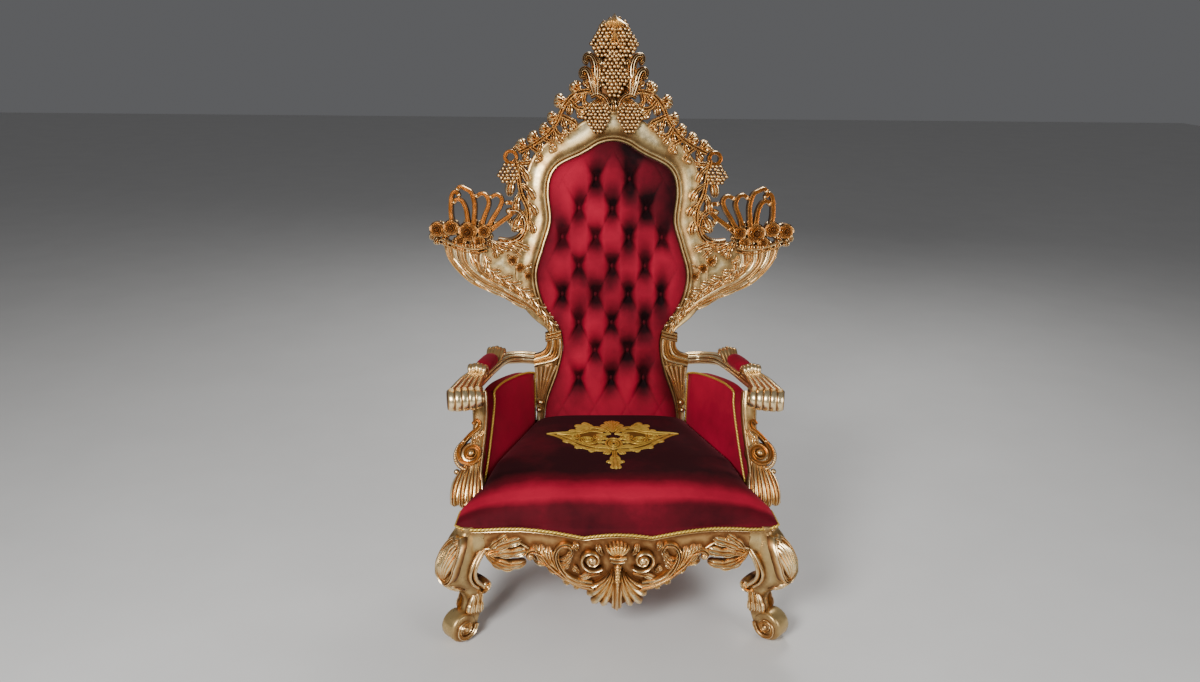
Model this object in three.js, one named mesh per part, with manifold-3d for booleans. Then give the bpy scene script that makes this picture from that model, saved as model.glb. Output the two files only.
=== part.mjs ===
// A high-backed throne: a carved and gilded wooden frame with deep-buttoned velvet upholstery.
// Millimetres, +Z up. The sitter faces -Y, and +X is on the right of someone who looks at the front.
import * as THREE from 'three';
import { mergeVertices } from 'three/addons/utils/BufferGeometryUtils.js';
import Module from 'manifold-3d';

const wasm = await Module();
wasm.setup();

// Driving dimensions
const gap = 0.3; // between neighbouring pieces
const originShift = 18.5; // moves the chair along Y, so that the origin is under the middle of its box
const railTop = 372; // top of the seat frame, where the upholstery begins
const railBottom = 302;
const railThickness = 45;
const cornerX = 432; // middle of a front leg's corner block
const cornerY = -385;
const cornerReach = 47; // from a corner block's middle to the end of a rail
const seatFrontHalf = 455; // half the seat's width at its front edge
const seatFrontY = -405;
const seatTaper = 0.335; // how much each side draws in for each millimetre towards the back
const seatBackY = 171;
const seatRise = 112; // height of the crowned seat over the rail
const bowDepth = 26; // how far the front rail swells forward
const backTilt = THREE.MathUtils.degToRad(9);
const backFootY = 200; // the back's carved face crosses this place
const backFootZ = 460;
const backThickness = 45;
const padFront = 26; // crown of the buttoned panel over the frame's face
const padRear = -38;
const padFoot = 10; // the panel ends just above the seat
const tuftAcross = 112;
const tuftUp = 97;
const tuftFirst = 130;
const tuftRows = 8;
const tuftMargin = 44; // buttons keep this far from the frame
const tuftDepth = 26;
const mouldingWidth = 16;
const mouldingHeight = 13;
const rearBlock = { x: 285, y: 213, half: 26 };
const armJoint = 264; // where the arm meets the back frame, from the middle
const rollRadius = 38;
const rollLength = 104;
const panelThickness = 32;
const panelLean = 42; // how far a side panel leans out at its top
const panelBackY = 204;

const gilt = { color: 0xc79a52, roughness: 0.38, metalness: 0.75 };
const champagne = { color: 0xcdb98a, roughness: 0.36, metalness: 0.7 };
const velvet = { color: 0xa3122f, roughness: 0.85, metalness: 0 };

// Small helpers
const mix = THREE.MathUtils.lerp;
const clamp = THREE.MathUtils.clamp;
const range = (count) => [...Array(count).keys()];
const seatHalf = (y) => seatFrontHalf - seatTaper * (y - seatFrontY);
const bow = (x) => bowDepth * Math.max(0, 1 - (x / 385) ** 2) ** 1.2;

// A smooth line through points of two or three numbers, read at 0 to 1.
function smooth(points, closed = false) {
  const line = new THREE.CatmullRomCurve3(
    points.map(([a, b, c = 0]) => new THREE.Vector3(a, b, c)), closed, 'centripetal');
  return (t) => line.getPoint(closed ? t % 1 : clamp(t, 0, 1)).toArray();
}

// A curve from one point to another that swings sideways by a share of its length.
function swing([u0, v0], [u1, v1], bend) {
  const um = (u0 + u1) / 2 - (v1 - v0) * bend;
  const vm = (v0 + v1) / 2 + (u1 - u0) * bend;
  return (t) => {
    const s = 1 - t;
    return [s * s * u0 + 2 * s * t * um + t * t * u1, s * s * v0 + 2 * s * t * vm + t * t * v1];
  };
}

// A spiral that winds in from an outer radius to an inner one, turns counted with their sign.
function spiral([u, v], outer, inner, start, turns) {
  return (t) => {
    const radius = outer * (inner / outer) ** t;
    const angle = start + 2 * Math.PI * turns * t;
    return [u + radius * Math.cos(angle), v + radius * Math.sin(angle)];
  };
}

// Closed surface over a row of rings that all have the same number of points.
function skin(rings, looped = false) {
  const count = rings[0].length;
  const faces = [];
  range(looped ? rings.length : rings.length - 1).forEach((i) => {
    const a = i * count;
    const b = ((i + 1) % rings.length) * count;
    range(count).forEach((j) => {
      const k = (j + 1) % count;
      faces.push(a + j, b + j, b + k, a + j, b + k, a + k);
    });
  });
  if (!looped) {
    const end = (rings.length - 1) * count;
    for (let j = 1; j < count - 1; j++) {
      faces.push(0, j, j + 1, end, end + j + 1, end + j);
    }
  }
  const geometry = new THREE.BufferGeometry();
  geometry.setAttribute('position', new THREE.Float32BufferAttribute(rings.flat(2), 3));
  geometry.setIndex(faces);
  return geometry;
}

// A closed surface as a solid that can be joined and cut. Its faces are turned to point out.
function solid(geometry) {
  const bare = geometry.clone();
  const extra = Object.keys(bare.attributes).filter((key) => key !== 'position');
  extra.forEach((key) => bare.deleteAttribute(key));
  const merged = mergeVertices(bare, 1e-3);
  const vertProperties = new Float32Array(merged.attributes.position.array);
  const triVerts = new Uint32Array(merged.index.array);
  const corner = (i) => new THREE.Vector3().fromArray(vertProperties, 3 * triVerts[i]);
  let volume = 0;
  for (let i = 0; i < triVerts.length; i += 3) {
    volume += corner(i).dot(corner(i + 1).cross(corner(i + 2)));
  }
  if (volume < 0) {
    for (let i = 0; i < triVerts.length; i += 3) {
      [triVerts[i + 1], triVerts[i + 2]] = [triVerts[i + 2], triVerts[i + 1]];
    }
  }
  return new wasm.Manifold(new wasm.Mesh({ numProp: 3, vertProperties, triVerts }));
}

const fuse = (geometries) => geometries.map(solid).reduce((whole, next) => whole.add(next));

function geometryOf(manifold) {
  const mesh = manifold.getMesh();
  const geometry = new THREE.BufferGeometry();
  geometry.setAttribute('position', new THREE.Float32BufferAttribute(mesh.vertProperties, 3));
  geometry.setIndex(new THREE.Uint32BufferAttribute(mesh.triVerts, 1));
  geometry.computeVertexNormals();
  return geometry;
}

// The same shape on the other side of the chair.
function mirrored(geometry) {
  const copy = geometry.clone().applyMatrix4(new THREE.Matrix4().makeScale(-1, 1, 1));
  if (!copy.index) return copy;
  const turned = [];
  for (let i = 0; i < copy.index.count; i += 3) {
    turned.push(copy.index.getX(i), copy.index.getX(i + 2), copy.index.getX(i + 1));
  }
  copy.setIndex(turned);
  return copy;
}

// Carving: an ornament is a section swept over a carved face, where u runs across, v up and w out of it.
const ridge = [[-1, 0], [0, 1], [1, 0]];
const swelling = [[-1, 0], [-0.7, 0.62], [0, 1], [0.7, 0.62], [1, 0]];
const rounded = [[-1, 0], [-0.62, 1], [0.62, 1], [1, 0]];

function strap(onto, path, { width, height, base = -6, steps = 8, section = rounded, looped = false }) {
  const read = (value, t) => (typeof value === 'function' ? value(t) : value);
  const rings = range(looped ? steps : steps + 1).map((i) => {
    const t = i / steps;
    const [u, v] = path(t);
    const before = path(looped ? (t + 0.99) % 1 : Math.max(0, t - 0.01));
    const after = path(looped ? (t + 0.01) % 1 : Math.min(1, t + 0.01));
    const run = [after[0] - before[0], after[1] - before[1]];
    const length = Math.hypot(...run) || 1;
    const side = [-run[1] / length, run[0] / length];
    const half = read(width, t);
    return section.map(([across, rise]) => onto(
      u + side[0] * across * half, v + side[1] * across * half, mix(base, read(height, t), rise)));
  });
  return skin(rings, looped);
}

// An acanthus leaf with a raised rib and a lobed edge.
function leaf(onto, from, to, { bend = 0.2, width = 14, height = 16, lobes = 1, base = -6 } = {}) {
  const outline = (t) => width * Math.sin(Math.PI * (0.14 + 0.82 * t)) ** 0.8
    * (1 + 0.22 * Math.cos(2 * Math.PI * lobes * t + Math.PI));
  const rise = (t) => height * (0.7 + 0.3 * Math.sin(Math.PI * t));
  return strap(onto, swing(from, to, bend),
    { width: outline, height: rise, base, steps: 2 * lobes, section: ridge });
}

// A ball that stands half out of the carved face, such as a grape, a bead or the eye of a scroll.
function ball(onto, u, v, w, radius) {
  const geometry = new THREE.OctahedronGeometry(1.3 * radius).rotateX(0.4).rotateZ(0.7);
  const place = geometry.attributes.position;
  range(place.count).forEach((i) => {
    place.setXYZ(i, ...onto(u + place.getX(i), v + place.getY(i), w + place.getZ(i)));
  });
  return geometry;
}

// A bunch of grapes in staggered rows, as wide at each height as the outline says.
function bunch(onto, [u, v], { rows, pitch, across, w = 6, radius = pitch * 0.56 }) {
  return range(rows).flatMap((row) => {
    const count = across(row);
    return range(count).map((i) => {
      const place = (i - (count - 1) / 2) * pitch;
      const crown = 0.5 * pitch * Math.cos((place / (count * pitch)) * Math.PI);
      return ball(onto, u + place, v - row * pitch * 0.86, w + crown, radius);
    });
  });
}

// A rose: a cup of petals that opens outwards and a bud in it.
function rose(onto, [u, v], radius, w) {
  const petals = 5;
  const profile = [[0.6, -0.84], [1, 0.07], [0.4, 0.5]]; // width and height as shares of the radius
  return skin(profile.map(([wide, out]) => range(petals).map((i) => {
    const angle = (2 * Math.PI * i) / petals;
    const reach = wide * radius;
    return onto(u + reach * Math.cos(angle), v + reach * Math.sin(angle), w + out * radius);
  })));
}

// A flat outline made thick, from points in two directions of a carved face.
function plate(onto, outline, holes, front, rear) {
  const shape = new THREE.Shape(outline.map(([u, v]) => new THREE.Vector2(u, v)));
  shape.holes = holes.map((hole) => new THREE.Path(hole.map(([u, v]) => new THREE.Vector2(u, v))));
  const geometry = new THREE.ExtrudeGeometry(shape, { depth: front - rear, bevelEnabled: false });
  const place = geometry.attributes.position;
  range(place.count).forEach((i) => {
    place.setXYZ(i, ...onto(place.getX(i), place.getY(i), rear + place.getZ(i)));
  });
  return geometry;
}

// A half outline and its mirror image, as one outline.
function bothWays(half) {
  const other = half.filter(([u]) => Math.abs(u) > 1e-6).map(([u, v]) => [-u, v]);
  return [...half, ...other.reverse()];
}

// The back: its own group leans by the tilt, with u across, v up the slope and w out of the carved face.
const onBack = (u, v, w) => [u, -w, v];

// Half the width of the upholstered opening, from its foot to the tip of its arch.
const openingHalf = [
  [236, -46], [220, 47], [182, 155], [166, 240], [178, 302], [231, 388], [253, 486], [228, 585],
  [205, 668], [212, 770], [192, 828], [105, 886], [0, 931],
];
const openingLine = smooth(openingHalf);
const openingSteps = 13;
const opening = bothWays(range(openingSteps + 1).map((i) => openingLine(i / openingSteps).slice(0, 2)));

function openingWidth(v) {
  const rows = opening.slice(0, openingSteps + 1);
  const above = clamp(rows.findIndex(([, height]) => height >= v), 1, openingSteps);
  const [low, high] = [rows[above - 1], rows[above]];
  return mix(low[0], high[0], clamp((v - low[1]) / (high[1] - low[1]), 0, 1));
}

// Outer edge of the frame's own board, with the horn-shaped wings and the backing of the crest.
const boardHalf = [
  [armJoint, -110], [armJoint, 20], [armJoint, 120], [armJoint, 205], [236, 214], [219, 248], [226, 284],
  [262, 328], [323, 372], [414, 405], [495, 450], [545, 508], [566, 570], [548, 602], [470, 588], [400, 582],
  [352, 590], [311, 612], [284, 664], [274, 700], [287, 740], [298, 800], [276, 859], [226, 911], [160, 957],
  [92, 1004], [64, 1060], [70, 1100], [58, 1150], [58, 1190], [76, 1228], [70, 1272], [42, 1310], [0, 1322],
];
const boardLine = smooth(boardHalf.slice(3));
const boardSteps = 23;
const boardCurve = range(boardSteps + 1).map((i) => boardLine(i / boardSteps).slice(0, 2));
const board = bothWays([...boardHalf.slice(0, 3), ...boardCurve]);

const vineLine = smooth([
  [60, 1068], [112, 1072], [160, 1034], [186, 984], [222, 942], [274, 908], [324, 888],
]);
const branchLine = smooth([[322, 842], [312, 762], [282, 704], [288, 652], [326, 604], [398, 578]]);
const hornLine = smooth([[486, 592], [498, 512], [428, 436], [322, 386], [238, 308]]);
const hornWidth = (t) => mix(70, 15, t ** 0.7);
const fanHub = [465, 632];
const fanRays = [[-28, 118], [-10, 152], [8, 132], [26, 136], [48, 140]]; // lean in degrees, reach

// Leaves that leave a stem by turns to one side and the other.
function sprays(onto, line, count, reach, { width = 13, height = 15, sweep = 0.55, base = -6, from = 0.1 }) {
  return range(count).map((i) => {
    const t = mix(from, 0.96, i / (count - 1));
    const [u, v] = line(t);
    const [u1, v1] = line(Math.min(1, t + 0.02));
    const [u0, v0] = line(Math.max(0, t - 0.02));
    const length = Math.hypot(u1 - u0, v1 - v0);
    const along = [(u1 - u0) / length, (v1 - v0) / length];
    const turn = i % 2 ? 1 : -1;
    const span = typeof reach === 'function' ? reach(turn, t) : reach;
    const tipU = u + span * (sweep * along[0] - turn * along[1]);
    const tipV = v + span * (sweep * along[1] + turn * along[0]);
    return leaf(onto, [u, v], [tipU, tipV], { bend: -0.22 * turn, width, height, base });
  });
}

// The fan: pleats that spread from the hub, each with a scalloped end and a pierced middle.
function backFan(rear) {
  const around = ([lean, reach], turn, along) => {
    const angle = THREE.MathUtils.degToRad(lean + turn);
    return [fanHub[0] - Math.sin(angle) * reach * along, fanHub[1] + Math.cos(angle) * reach * along];
  };
  const scallop = [[-9.5, 0.8], [-6, 0.98], [6, 0.98], [9.5, 0.8]]; // degrees off the ray, share of it
  const piercing = [[0, 0.5], [-4.6, 0.8], [0, 0.9], [4.6, 0.8]];
  const drawn = (ray, points) => points.map(([turn, along]) => around(ray, turn, along));
  const foot = [24, -40].map((across) => [fanHub[0] + across, fanHub[1] - 20]);
  const outline = [foot[0], ...fanRays.flatMap((ray) => drawn(ray, scallop)), foot[1]];
  return plate(onBack, outline, fanRays.map((ray) => drawn(ray, piercing)), 9, rear);
}

function backCarvingHalf() {
  const free = -16; // depth of carving that stands clear of the board
  return [
    // crest leaves
    leaf(onBack, [48, 1108], [98, 1204], { bend: 0.12, width: 18, height: 20 }),
    leaf(onBack, [56, 1096], [108, 1156], { bend: 0.24, width: 14, height: 18 }),
    leaf(onBack, [2, 1322], [46, 1288], { bend: -0.1, width: 15, height: 20 }),
    // the vine and its end ring
    strap(onBack, vineLine, { width: 8, height: 13, base: free, steps: 5, section: ridge }),
    ...sprays(onBack, vineLine, 4, (turn) => (turn > 0 ? 42 : 50), { width: 16, base: free }),
    strap(onBack, (t) => [338 + 19 * Math.cos(2 * Math.PI * t), 880 + 19 * Math.sin(2 * Math.PI * t)],
      { width: 7, height: 12, base: free, steps: 6, looped: true, section: ridge }),
    leaf(onBack, [330, 862], [262, 872], { bend: 0.2, width: 15, base: free }),
    // the branch down the side of the frame
    strap(onBack, branchLine, { width: 9, height: 14, base: free, steps: 4, section: ridge }),
    ...sprays(onBack, branchLine, 3, 36, { width: 15, base: free }),
    // the wing: a horn with its rim, the pierced fan over it, a curl beside the fan and three roses
    strap(onBack, hornLine,
      { width: hornWidth, height: (t) => mix(26, 15, t), base: -20, steps: 5, section: swelling }),
    strap(onBack, (t) => [mix(408, 562, t), 592 - 20 * Math.sin(Math.PI * t)],
      { width: 8, height: 31, steps: 4 }),
    backFan(free),
    strap(onBack, (t) => {
      const angle = mix(2.9, -1.5, t);
      return [345 + 42 * Math.cos(angle), 642 + 44 * Math.sin(angle)];
    }, { width: 8, height: 13, base: free, steps: 5, section: ridge }),
    ...[[584, 630, 27], [538, 622, 26], [484, 620, 34]].map(
      ([u, v, radius]) => rose(onBack, [u, v], radius, 14)),
    // grapes under the ring and over the arch
    ...bunch(onBack, [345, 850], { rows: 2, pitch: 34, across: (row) => 2 - row, w: -6 }),
    ...bunch(onBack, [46, 1036], { rows: 3, pitch: 34, across: (row) => [1, 2, 1][row], w: 2 }),
    // neck collar, the shoulder that runs into the arm and the fluted leaf below it
    strap(onBack, (t) => [mix(184, 226, t), mix(287, 277, t)], { width: 12, height: 20, steps: 2 }),
    strap(onBack, smooth([[200, 276], [202, 236], [222, 208], [armJoint - 1, 192]]),
      { width: (t) => mix(13, 19, t), height: 16, steps: 4 }),
    ...[[204, 234, 0.04], [246, 250, 0]].map(([top, foot, bend]) => strap(
      onBack, swing([top, 178], [foot, 62], bend),
      { width: (t) => mix(15, 5, t), height: (t) => mix(16, 8, t), steps: 1, section: ridge })),
    ball(onBack, 243, 40, 2, 13),
  ];
}

function backFrame() {
  const half = backCarvingHalf();
  const crest = [
    ...bunch(onBack, [0, 1276], { rows: 2, pitch: 42, across: (row) => [3, 4][row], w: 2 }),
    ...bunch(onBack, [0, 1188], { rows: 3, pitch: 38, across: (row) => [2, 2, 1][row], w: 4 }),
    leaf(onBack, [0, 1318], [0, 1238], { bend: 0, width: 15, height: 30 }),
    ball(onBack, 0, 1056, 4, 20),
  ];
  const moulding = bothWays(opening.slice(0, openingSteps + 1).map(([u, v], i, points) => {
    if (i === 0) return [u + mouldingWidth, v - mouldingWidth];
    const before = points[i - 1];
    const after = points[i + 1] ?? [-before[0], before[1]];
    const length = Math.hypot(after[0] - before[0], after[1] - before[1]);
    const out = mouldingWidth / length;
    return [u + (after[1] - before[1]) * out, v - (after[0] - before[0]) * out];
  }));
  const whole = fuse([
    plate(onBack, board, [opening], 0, -backThickness),
    plate(onBack, moulding, [opening], mouldingHeight, -2),
    ...half, ...half.map(mirrored), ...crest,
  ]);
  // the opening and the arms' joints stay clear, and the foot is cut level above the seat frame
  const clear = plate(onBack, opening, [], 60, -backThickness - 5);
  const below = new THREE.BoxGeometry(900, 400, 200).applyMatrix4(
    new THREE.Matrix4().makeTranslation(0, 0, -backFootZ + railTop + gap - 100)
      .premultiply(new THREE.Matrix4().makeRotationX(backTilt)));
  const beside = new THREE.BoxGeometry(100, 300, 360).translate(armJoint + 50, 0, 40);
  const cuts = [clear, below, beside, mirrored(beside)];
  return geometryOf(cuts.map(solid).reduce((rest, cut) => rest.subtract(cut), whole));
}

// Places of the covered buttons: rows by turns on and between the middle line.
const tufts = range(tuftRows).flatMap((row) => {
  const v = tuftFirst + tuftUp * row;
  const count = row % 2 ? 6 : 5;
  return range(count).map((i) => [(i - (count - 1) / 2) * tuftAcross, v])
    .filter(([u]) => Math.abs(u) < openingWidth(v) - tuftMargin);
});

// The buttoned panel: its face is crowned, falls off to the frame and sinks in a pit at each button.
function padFace(u, v) {
  const edge = 1 - clamp(Math.abs(u) / openingWidth(v), 0, 1) ** 4;
  return mix(4, padFront, Math.sqrt(edge));
}

// A turned shape that stands on the panel's face at one place.
function turned(profile, segments, u, v) {
  return new THREE.LatheGeometry(profile.map(([radius, out]) => new THREE.Vector2(radius, out)), segments)
    .applyMatrix4(new THREE.Matrix4().makeRotationX(Math.PI).setPosition(u, 0, v));
}

const pitFloor = ([u, v]) => padFace(u, v) - tuftDepth;

function backPad() {
  const inset = 1;
  const columns = 6;
  const tip = openingHalf.at(-1)[1] - 6;
  const heights = opening.slice(0, openingSteps).map(([, v]) => v).filter((v) => v > padFoot + 5);
  const rings = [padFoot, ...heights, tip].map((v) => {
    const half = openingWidth(v) - inset;
    const face = range(columns + 1).map((j) => {
      const u = mix(-half, half, j / columns);
      return onBack(u, v, padFace(u, v));
    });
    return [...face, onBack(half, v, padRear), onBack(-half, v, padRear)];
  });
  const pits = tufts.map(([u, v]) => {
    const floor = pitFloor([u, v]);
    return turned([[0, floor - 16], [46, floor + tuftDepth + 8], [0, floor + tuftDepth + 8]], 4, u, v);
  });
  return geometryOf(pits.map(solid).reduce((rest, pit) => rest.subtract(pit), solid(skin(rings))));
}

function button(u, v) {
  const foot = pitFloor([u, v]) + gap;
  return turned([[0, foot], [10, foot], [8, foot + 6], [0, foot + 8]], 4, u, v);
}

// The seat: a crowned cushion with a bold front edge, inside the arms at its sides.
function seatCushion() {
  const across = 8;
  const along = 7;
  const foot = railTop + gap;
  const height = (s, t) => {
    const sides = (1 - Math.abs(s) ** 5) ** 0.45;
    const front = (1 - (1 - clamp(t / 0.24, 0, 1)) ** 2.2) ** 0.5;
    const dip = mix(1, 0.86, t);
    const tucked = mix(0.16, 0.62, clamp((t - 0.15) / 0.3, 0, 1)); // the sides are held up between the arms
    return seatRise * dip * mix(tucked, 1, sides * front);
  };
  const rows = range(along + 1).map((i) => {
    const t = (i / along) ** 1.5;
    const points = range(across + 1).map((j) => {
      const s = Math.sin(mix(-0.5, 0.5, j / across) * Math.PI);
      const front = seatFrontY - bow(s * seatFrontHalf) - 6;
      const y = mix(front, seatBackY, t);
      return [s * (seatHalf(y) - 2), y, foot + height(s, t)];
    });
    const [left, right] = [points[0], points.at(-1)];
    const under = range(across + 1).map((j) => [points[across - j][0], points[across - j][1], foot]);
    return [...points, [right[0], right[1], foot + 1], ...under.slice(1, -1), [left[0], left[1], foot + 1]];
  });
  return skin(rows);
}

// The front rail: its face swells forward, and its apron carries the boldest carving.
const onRail = (x, z, w) => [x, seatFrontY - 9.7 - bow(x) - w, z];
const railEnd = cornerX - cornerReach;
const railHalf = [
  [railEnd, railBottom - 4], [330, 308], [284, 322], [246, 290], [196, 244], [124, 204], [72, 188],
  [34, 142], [0, 122],
];

function frontRail() {
  const lower = smooth(railHalf);
  const steps = 11;
  const bottom = range(steps + 1).map((i) => lower(i / steps).slice(0, 2));
  const topSteps = 8;
  const top = range(topSteps - 1).map((i) => [mix(-railEnd, railEnd, (i + 1) / topSteps), railTop]);
  const outline = [...bothWays([[railEnd, railTop], ...bottom]), ...top];
  const base = -14;
  const half = [
    strap(onRail, spiral([78, 272], 40, 10, -2.2, 1.3),
      { width: (t) => mix(11, 8, t), height: 20, base, steps: 6, section: ridge }),
    ...[[58, 130], [104, 178]].map(([u, v], i) => leaf(onRail, [12 + 8 * i, 234], [u, v],
      { bend: -0.16, width: 19, height: 20, base })),
    strap(onRail, smooth([[84, 206], [140, 222], [172, 262], [176, 308], [150, 328], [132, 310]]),
      { width: (t) => mix(13, 7, t), height: 18, base, steps: 5, section: ridge }),
    leaf(onRail, [108, 210], [252, 296], { bend: -0.2, width: 19, height: 17, base, lobes: 2 }),
    leaf(onRail, [182, 268], [222, 326], { bend: 0.2, width: 16, height: 14, base }),
    ...[[298, 336], [296, 272]].map(([u, v], i) => leaf(onRail, [railEnd - 3, 300 - 5 * i], [u, v],
      { bend: 0.2 * (i - 0.5), width: 18, height: 13, base })),
  ];
  const shell = range(3).map((i) => {
    const angle = mix(0.28, 0.72, i / 2) * Math.PI;
    return strap(onRail, swing([0, 292], [46 * Math.cos(angle), 292 + 46 * Math.sin(angle)], 0),
      { width: (t) => mix(5, 12, t), height: 16, base, steps: 1, section: ridge });
  });
  const middle = [
    ...shell,
    strap(onRail, (t) => [mix(-27, 27, t), 280], { width: 10, height: 22, base, steps: 1 }),
    leaf(onRail, [0, 262], [0, 100], { bend: 0, width: 19, height: 25, base }),
  ];
  const beside = new THREE.BoxGeometry(100, 300, 400).translate(railEnd + 50, cornerY, 200);
  const whole = fuse([
    plate(onRail, outline, [], 0, -railThickness), ...half, ...half.map(mirrored), ...middle,
  ]);
  return geometryOf(whole.subtract(solid(beside)).subtract(solid(mirrored(beside))));
}

function sideRail() {
  const front = cornerY + cornerReach + gap;
  const rear = rearBlock.y - rearBlock.half - 1;
  const outer = (y) => mix(cornerX + 29.7, rearBlock.x + rearBlock.half + 2, (y - front) / (rear - front));
  const steps = 6;
  const rows = range(steps + 1).map((i) => {
    const y = mix(front, rear, i / steps);
    const dip = 12 * Math.sin((Math.PI * i) / steps);
    const x = outer(y);
    return [[x, y, railTop - gap], [x, y, railBottom + dip], [x - railThickness, y, railBottom + dip],
      [x - railThickness, y, railTop - gap]];
  });
  return skin(rows);
}

function rearRail() {
  const half = rearBlock.x - rearBlock.half - gap;
  return new THREE.BoxGeometry(2 * half, 2 * rearBlock.half - 4, railTop - gap - railBottom)
    .translate(0, rearBlock.y, (railTop - gap + railBottom) / 2);
}

// A front leg in its own frame: +X points out of the corner along the diagonal.
const footCentre = [52, 46];
const legProfile = [
  [38, railTop - gap], [84, 306], [108, 244], [98, 206], [66, 174], [30, 142], [28, 108],
  [62, 92], [90, 74], [99, 46], [90, 18], [68, 0], [30, 0], [4, 18], [-18, 64], [-34, 132],
  [-40, 138], [-48, 158], [-42, 178], [-30, 180], [-18, 168], [-6, 196], [-6, 232], [-30, 284],
  [-10, 300], [-10, railTop - gap],
];
const legHalf = (z) => mix(27, 38, clamp((z - 90) / 150, 0, 1)) - 6 * clamp((z - 300) / 60, 0, 1);

function frontLeg() {
  const onSide = (sign) => (p, z, w) => [p, sign * (legHalf(z) + w), z];
  const body = plate((p, z, w) => [p, w * legHalf(z), z], legProfile, [], 1, -1);
  const corner = [[42, 0], [36, 9], [-12, 54], [-44, 22], [-44, -22], [-12, -54], [36, -9]];
  const block = plate((p, q, w) => [p, q, w], corner, [], railTop - gap, railBottom - 8);
  const sides = [1, -1].flatMap((sign) => [
    strap(onSide(sign), spiral(footCentre, 38, 17, 2.4, -1.1),
      { width: (t) => mix(10, 8, t), height: 8, base: -5, steps: 5, section: ridge }),
    leaf(onSide(sign), [72, 190], [62, 318], { bend: 0.1, width: 17, height: 8, base: -5 }),
  ]);
  const onKnee = (q, z, w) => {
    const reach = z > 244 ? mix(108, 40, ((z - 244) / 128) ** 1.3) : mix(108, 60, ((244 - z) / 74) ** 1.4);
    return [reach + w - 0.004 * q * q, q, z];
  };
  const shell = [-1, 0, 1].map((i) => strap(onKnee, swing([i * 5, 216], [i * 20, 322 - 8 * Math.abs(i)], 0),
    { width: (t) => mix(6, 13, t), height: 9, base: -12, steps: 1, section: ridge }));
  const knot = leaf(onKnee, [0, 250], [0, 176], { bend: 0, width: 22, height: 13, base: -14 });
  return geometryOf(fuse([body, block, ...sides, ...shell, knot]));
}

// A rear leg: plainer, raking back to a small pad foot.
function rearLeg() {
  const stations = [
    [railTop - gap, 0, 26], [260, 0, 26], [160, 18, 20], [90, 44, 17], [26, 76, 20], [0, 84, 24],
  ];
  return skin(stations.map(([z, back, half]) => range(8).map((i) => {
    const angle = ((i + 0.5) / 8) * 2 * Math.PI;
    const across = half * clamp(1.2 * Math.cos(angle), -1, 1);
    const along = half * clamp(1.2 * Math.sin(angle), -1, 1);
    return [across + back * 0.25, along + back, z];
  })));
}

// An arm: it leaves the back sideways, turns forward and ends in a reeded roll.
const armLine = smooth([
  [armJoint + gap, 250, 650], [318, 244, 655], [372, 186, 668], [404, 60, 682], [430, -80, 692],
  [452, -172, 696],
]);
const rollCentre = [456, -190, 677];
const rollTurn = THREE.MathUtils.degToRad(12);
const armHalf = { across: 25, up: 21 };

function sweepBar(line, steps, half) {
  const rings = range(steps + 1).map((i) => {
    const t = i / steps;
    const [x, y, z] = line(t);
    const after = line(Math.min(1, t + 0.01));
    const before = line(Math.max(0, t - 0.01));
    const run = i === 0 ? [1, 0] : [after[0] - before[0], after[1] - before[1]];
    const length = Math.hypot(...run);
    const side = [-run[1] / length, run[0] / length];
    const [across, up] = half(t);
    return range(6).map((j) => {
      const angle = ((j + 0.5) / 6) * 2 * Math.PI;
      const reach = across * Math.cos(angle);
      return [x + side[0] * reach, y + side[1] * reach, z + up * Math.sin(angle)];
    });
  });
  return skin(rings);
}

// The reeded roll at the front of an arm, with a small boss on each end.
function armRoll() {
  const reeds = 4;
  const profile = [[0, -rollLength / 2 - 5], [13, -rollLength / 2]];
  range(reeds).forEach((i) => {
    const start = -rollLength / 2 + (i * rollLength) / reeds;
    const swell = mix(0.9, 1.04, i / (reeds - 1)) * rollRadius;
    profile.push([swell * 0.9, start + 0.5], [swell, start + rollLength / reeds / 2]);
  });
  profile.push([rollRadius * 0.86, rollLength / 2], [0, rollLength / 2]);
  return new THREE.LatheGeometry(profile.map(([r, h]) => new THREE.Vector2(r, h)), 7)
    .applyMatrix4(new THREE.Matrix4().makeRotationZ(-Math.PI / 2))
    .applyMatrix4(new THREE.Matrix4().makeRotationZ(rollTurn).setPosition(...rollCentre));
}

const padSpan = [0.42, 0.74]; // the share of the arm that its small cushion covers

// The plain bar of an arm, grown by a little where a neighbour is cut to it.
function armRest(grow = 0) {
  const across = (t) => armHalf.across + 5 * Math.sin(Math.PI * t) + grow;
  return sweepBar(armLine, 8, (t) => [across(t), armHalf.up + grow]);
}

function arm() {
  const onArm = (across, t, up) => {
    const [x, y, z] = armLine(t);
    return [x + across, y, z + armHalf.up + up];
  };
  const curled = [[0.34, 0.42, 44], [0.76, 0.68, 24]].map(([from, to, rise]) => skin(range(3).map((i) => {
    const s = i / 2;
    const t = mix(from, to, s * 0.8);
    const width = 25 * Math.sin(Math.PI * (0.3 + 0.62 * s));
    const lift = rise * Math.sin(s * 2) - 8;
    return [onArm(-width, t, lift - 8), onArm(0, t, lift), onArm(width, t, lift - 8), onArm(0, t, lift - 14)];
  })));
  const [bossX, bossY, bossZ] = armLine(0.84);
  const boss = ball((u, v, w) => [u, v, w], bossX, bossY, bossZ + armHalf.up, 17);
  const below = new THREE.BoxGeometry(400, 700, 300).translate(cornerX, 0, 0);
  const carved = fuse([armRest(), armRoll(), ...curled, boss]);
  const cushion = armPadShape(2 * gap);
  return geometryOf(carved.subtract(solid(cushion)).subtract(solid(below)));
}

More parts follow.
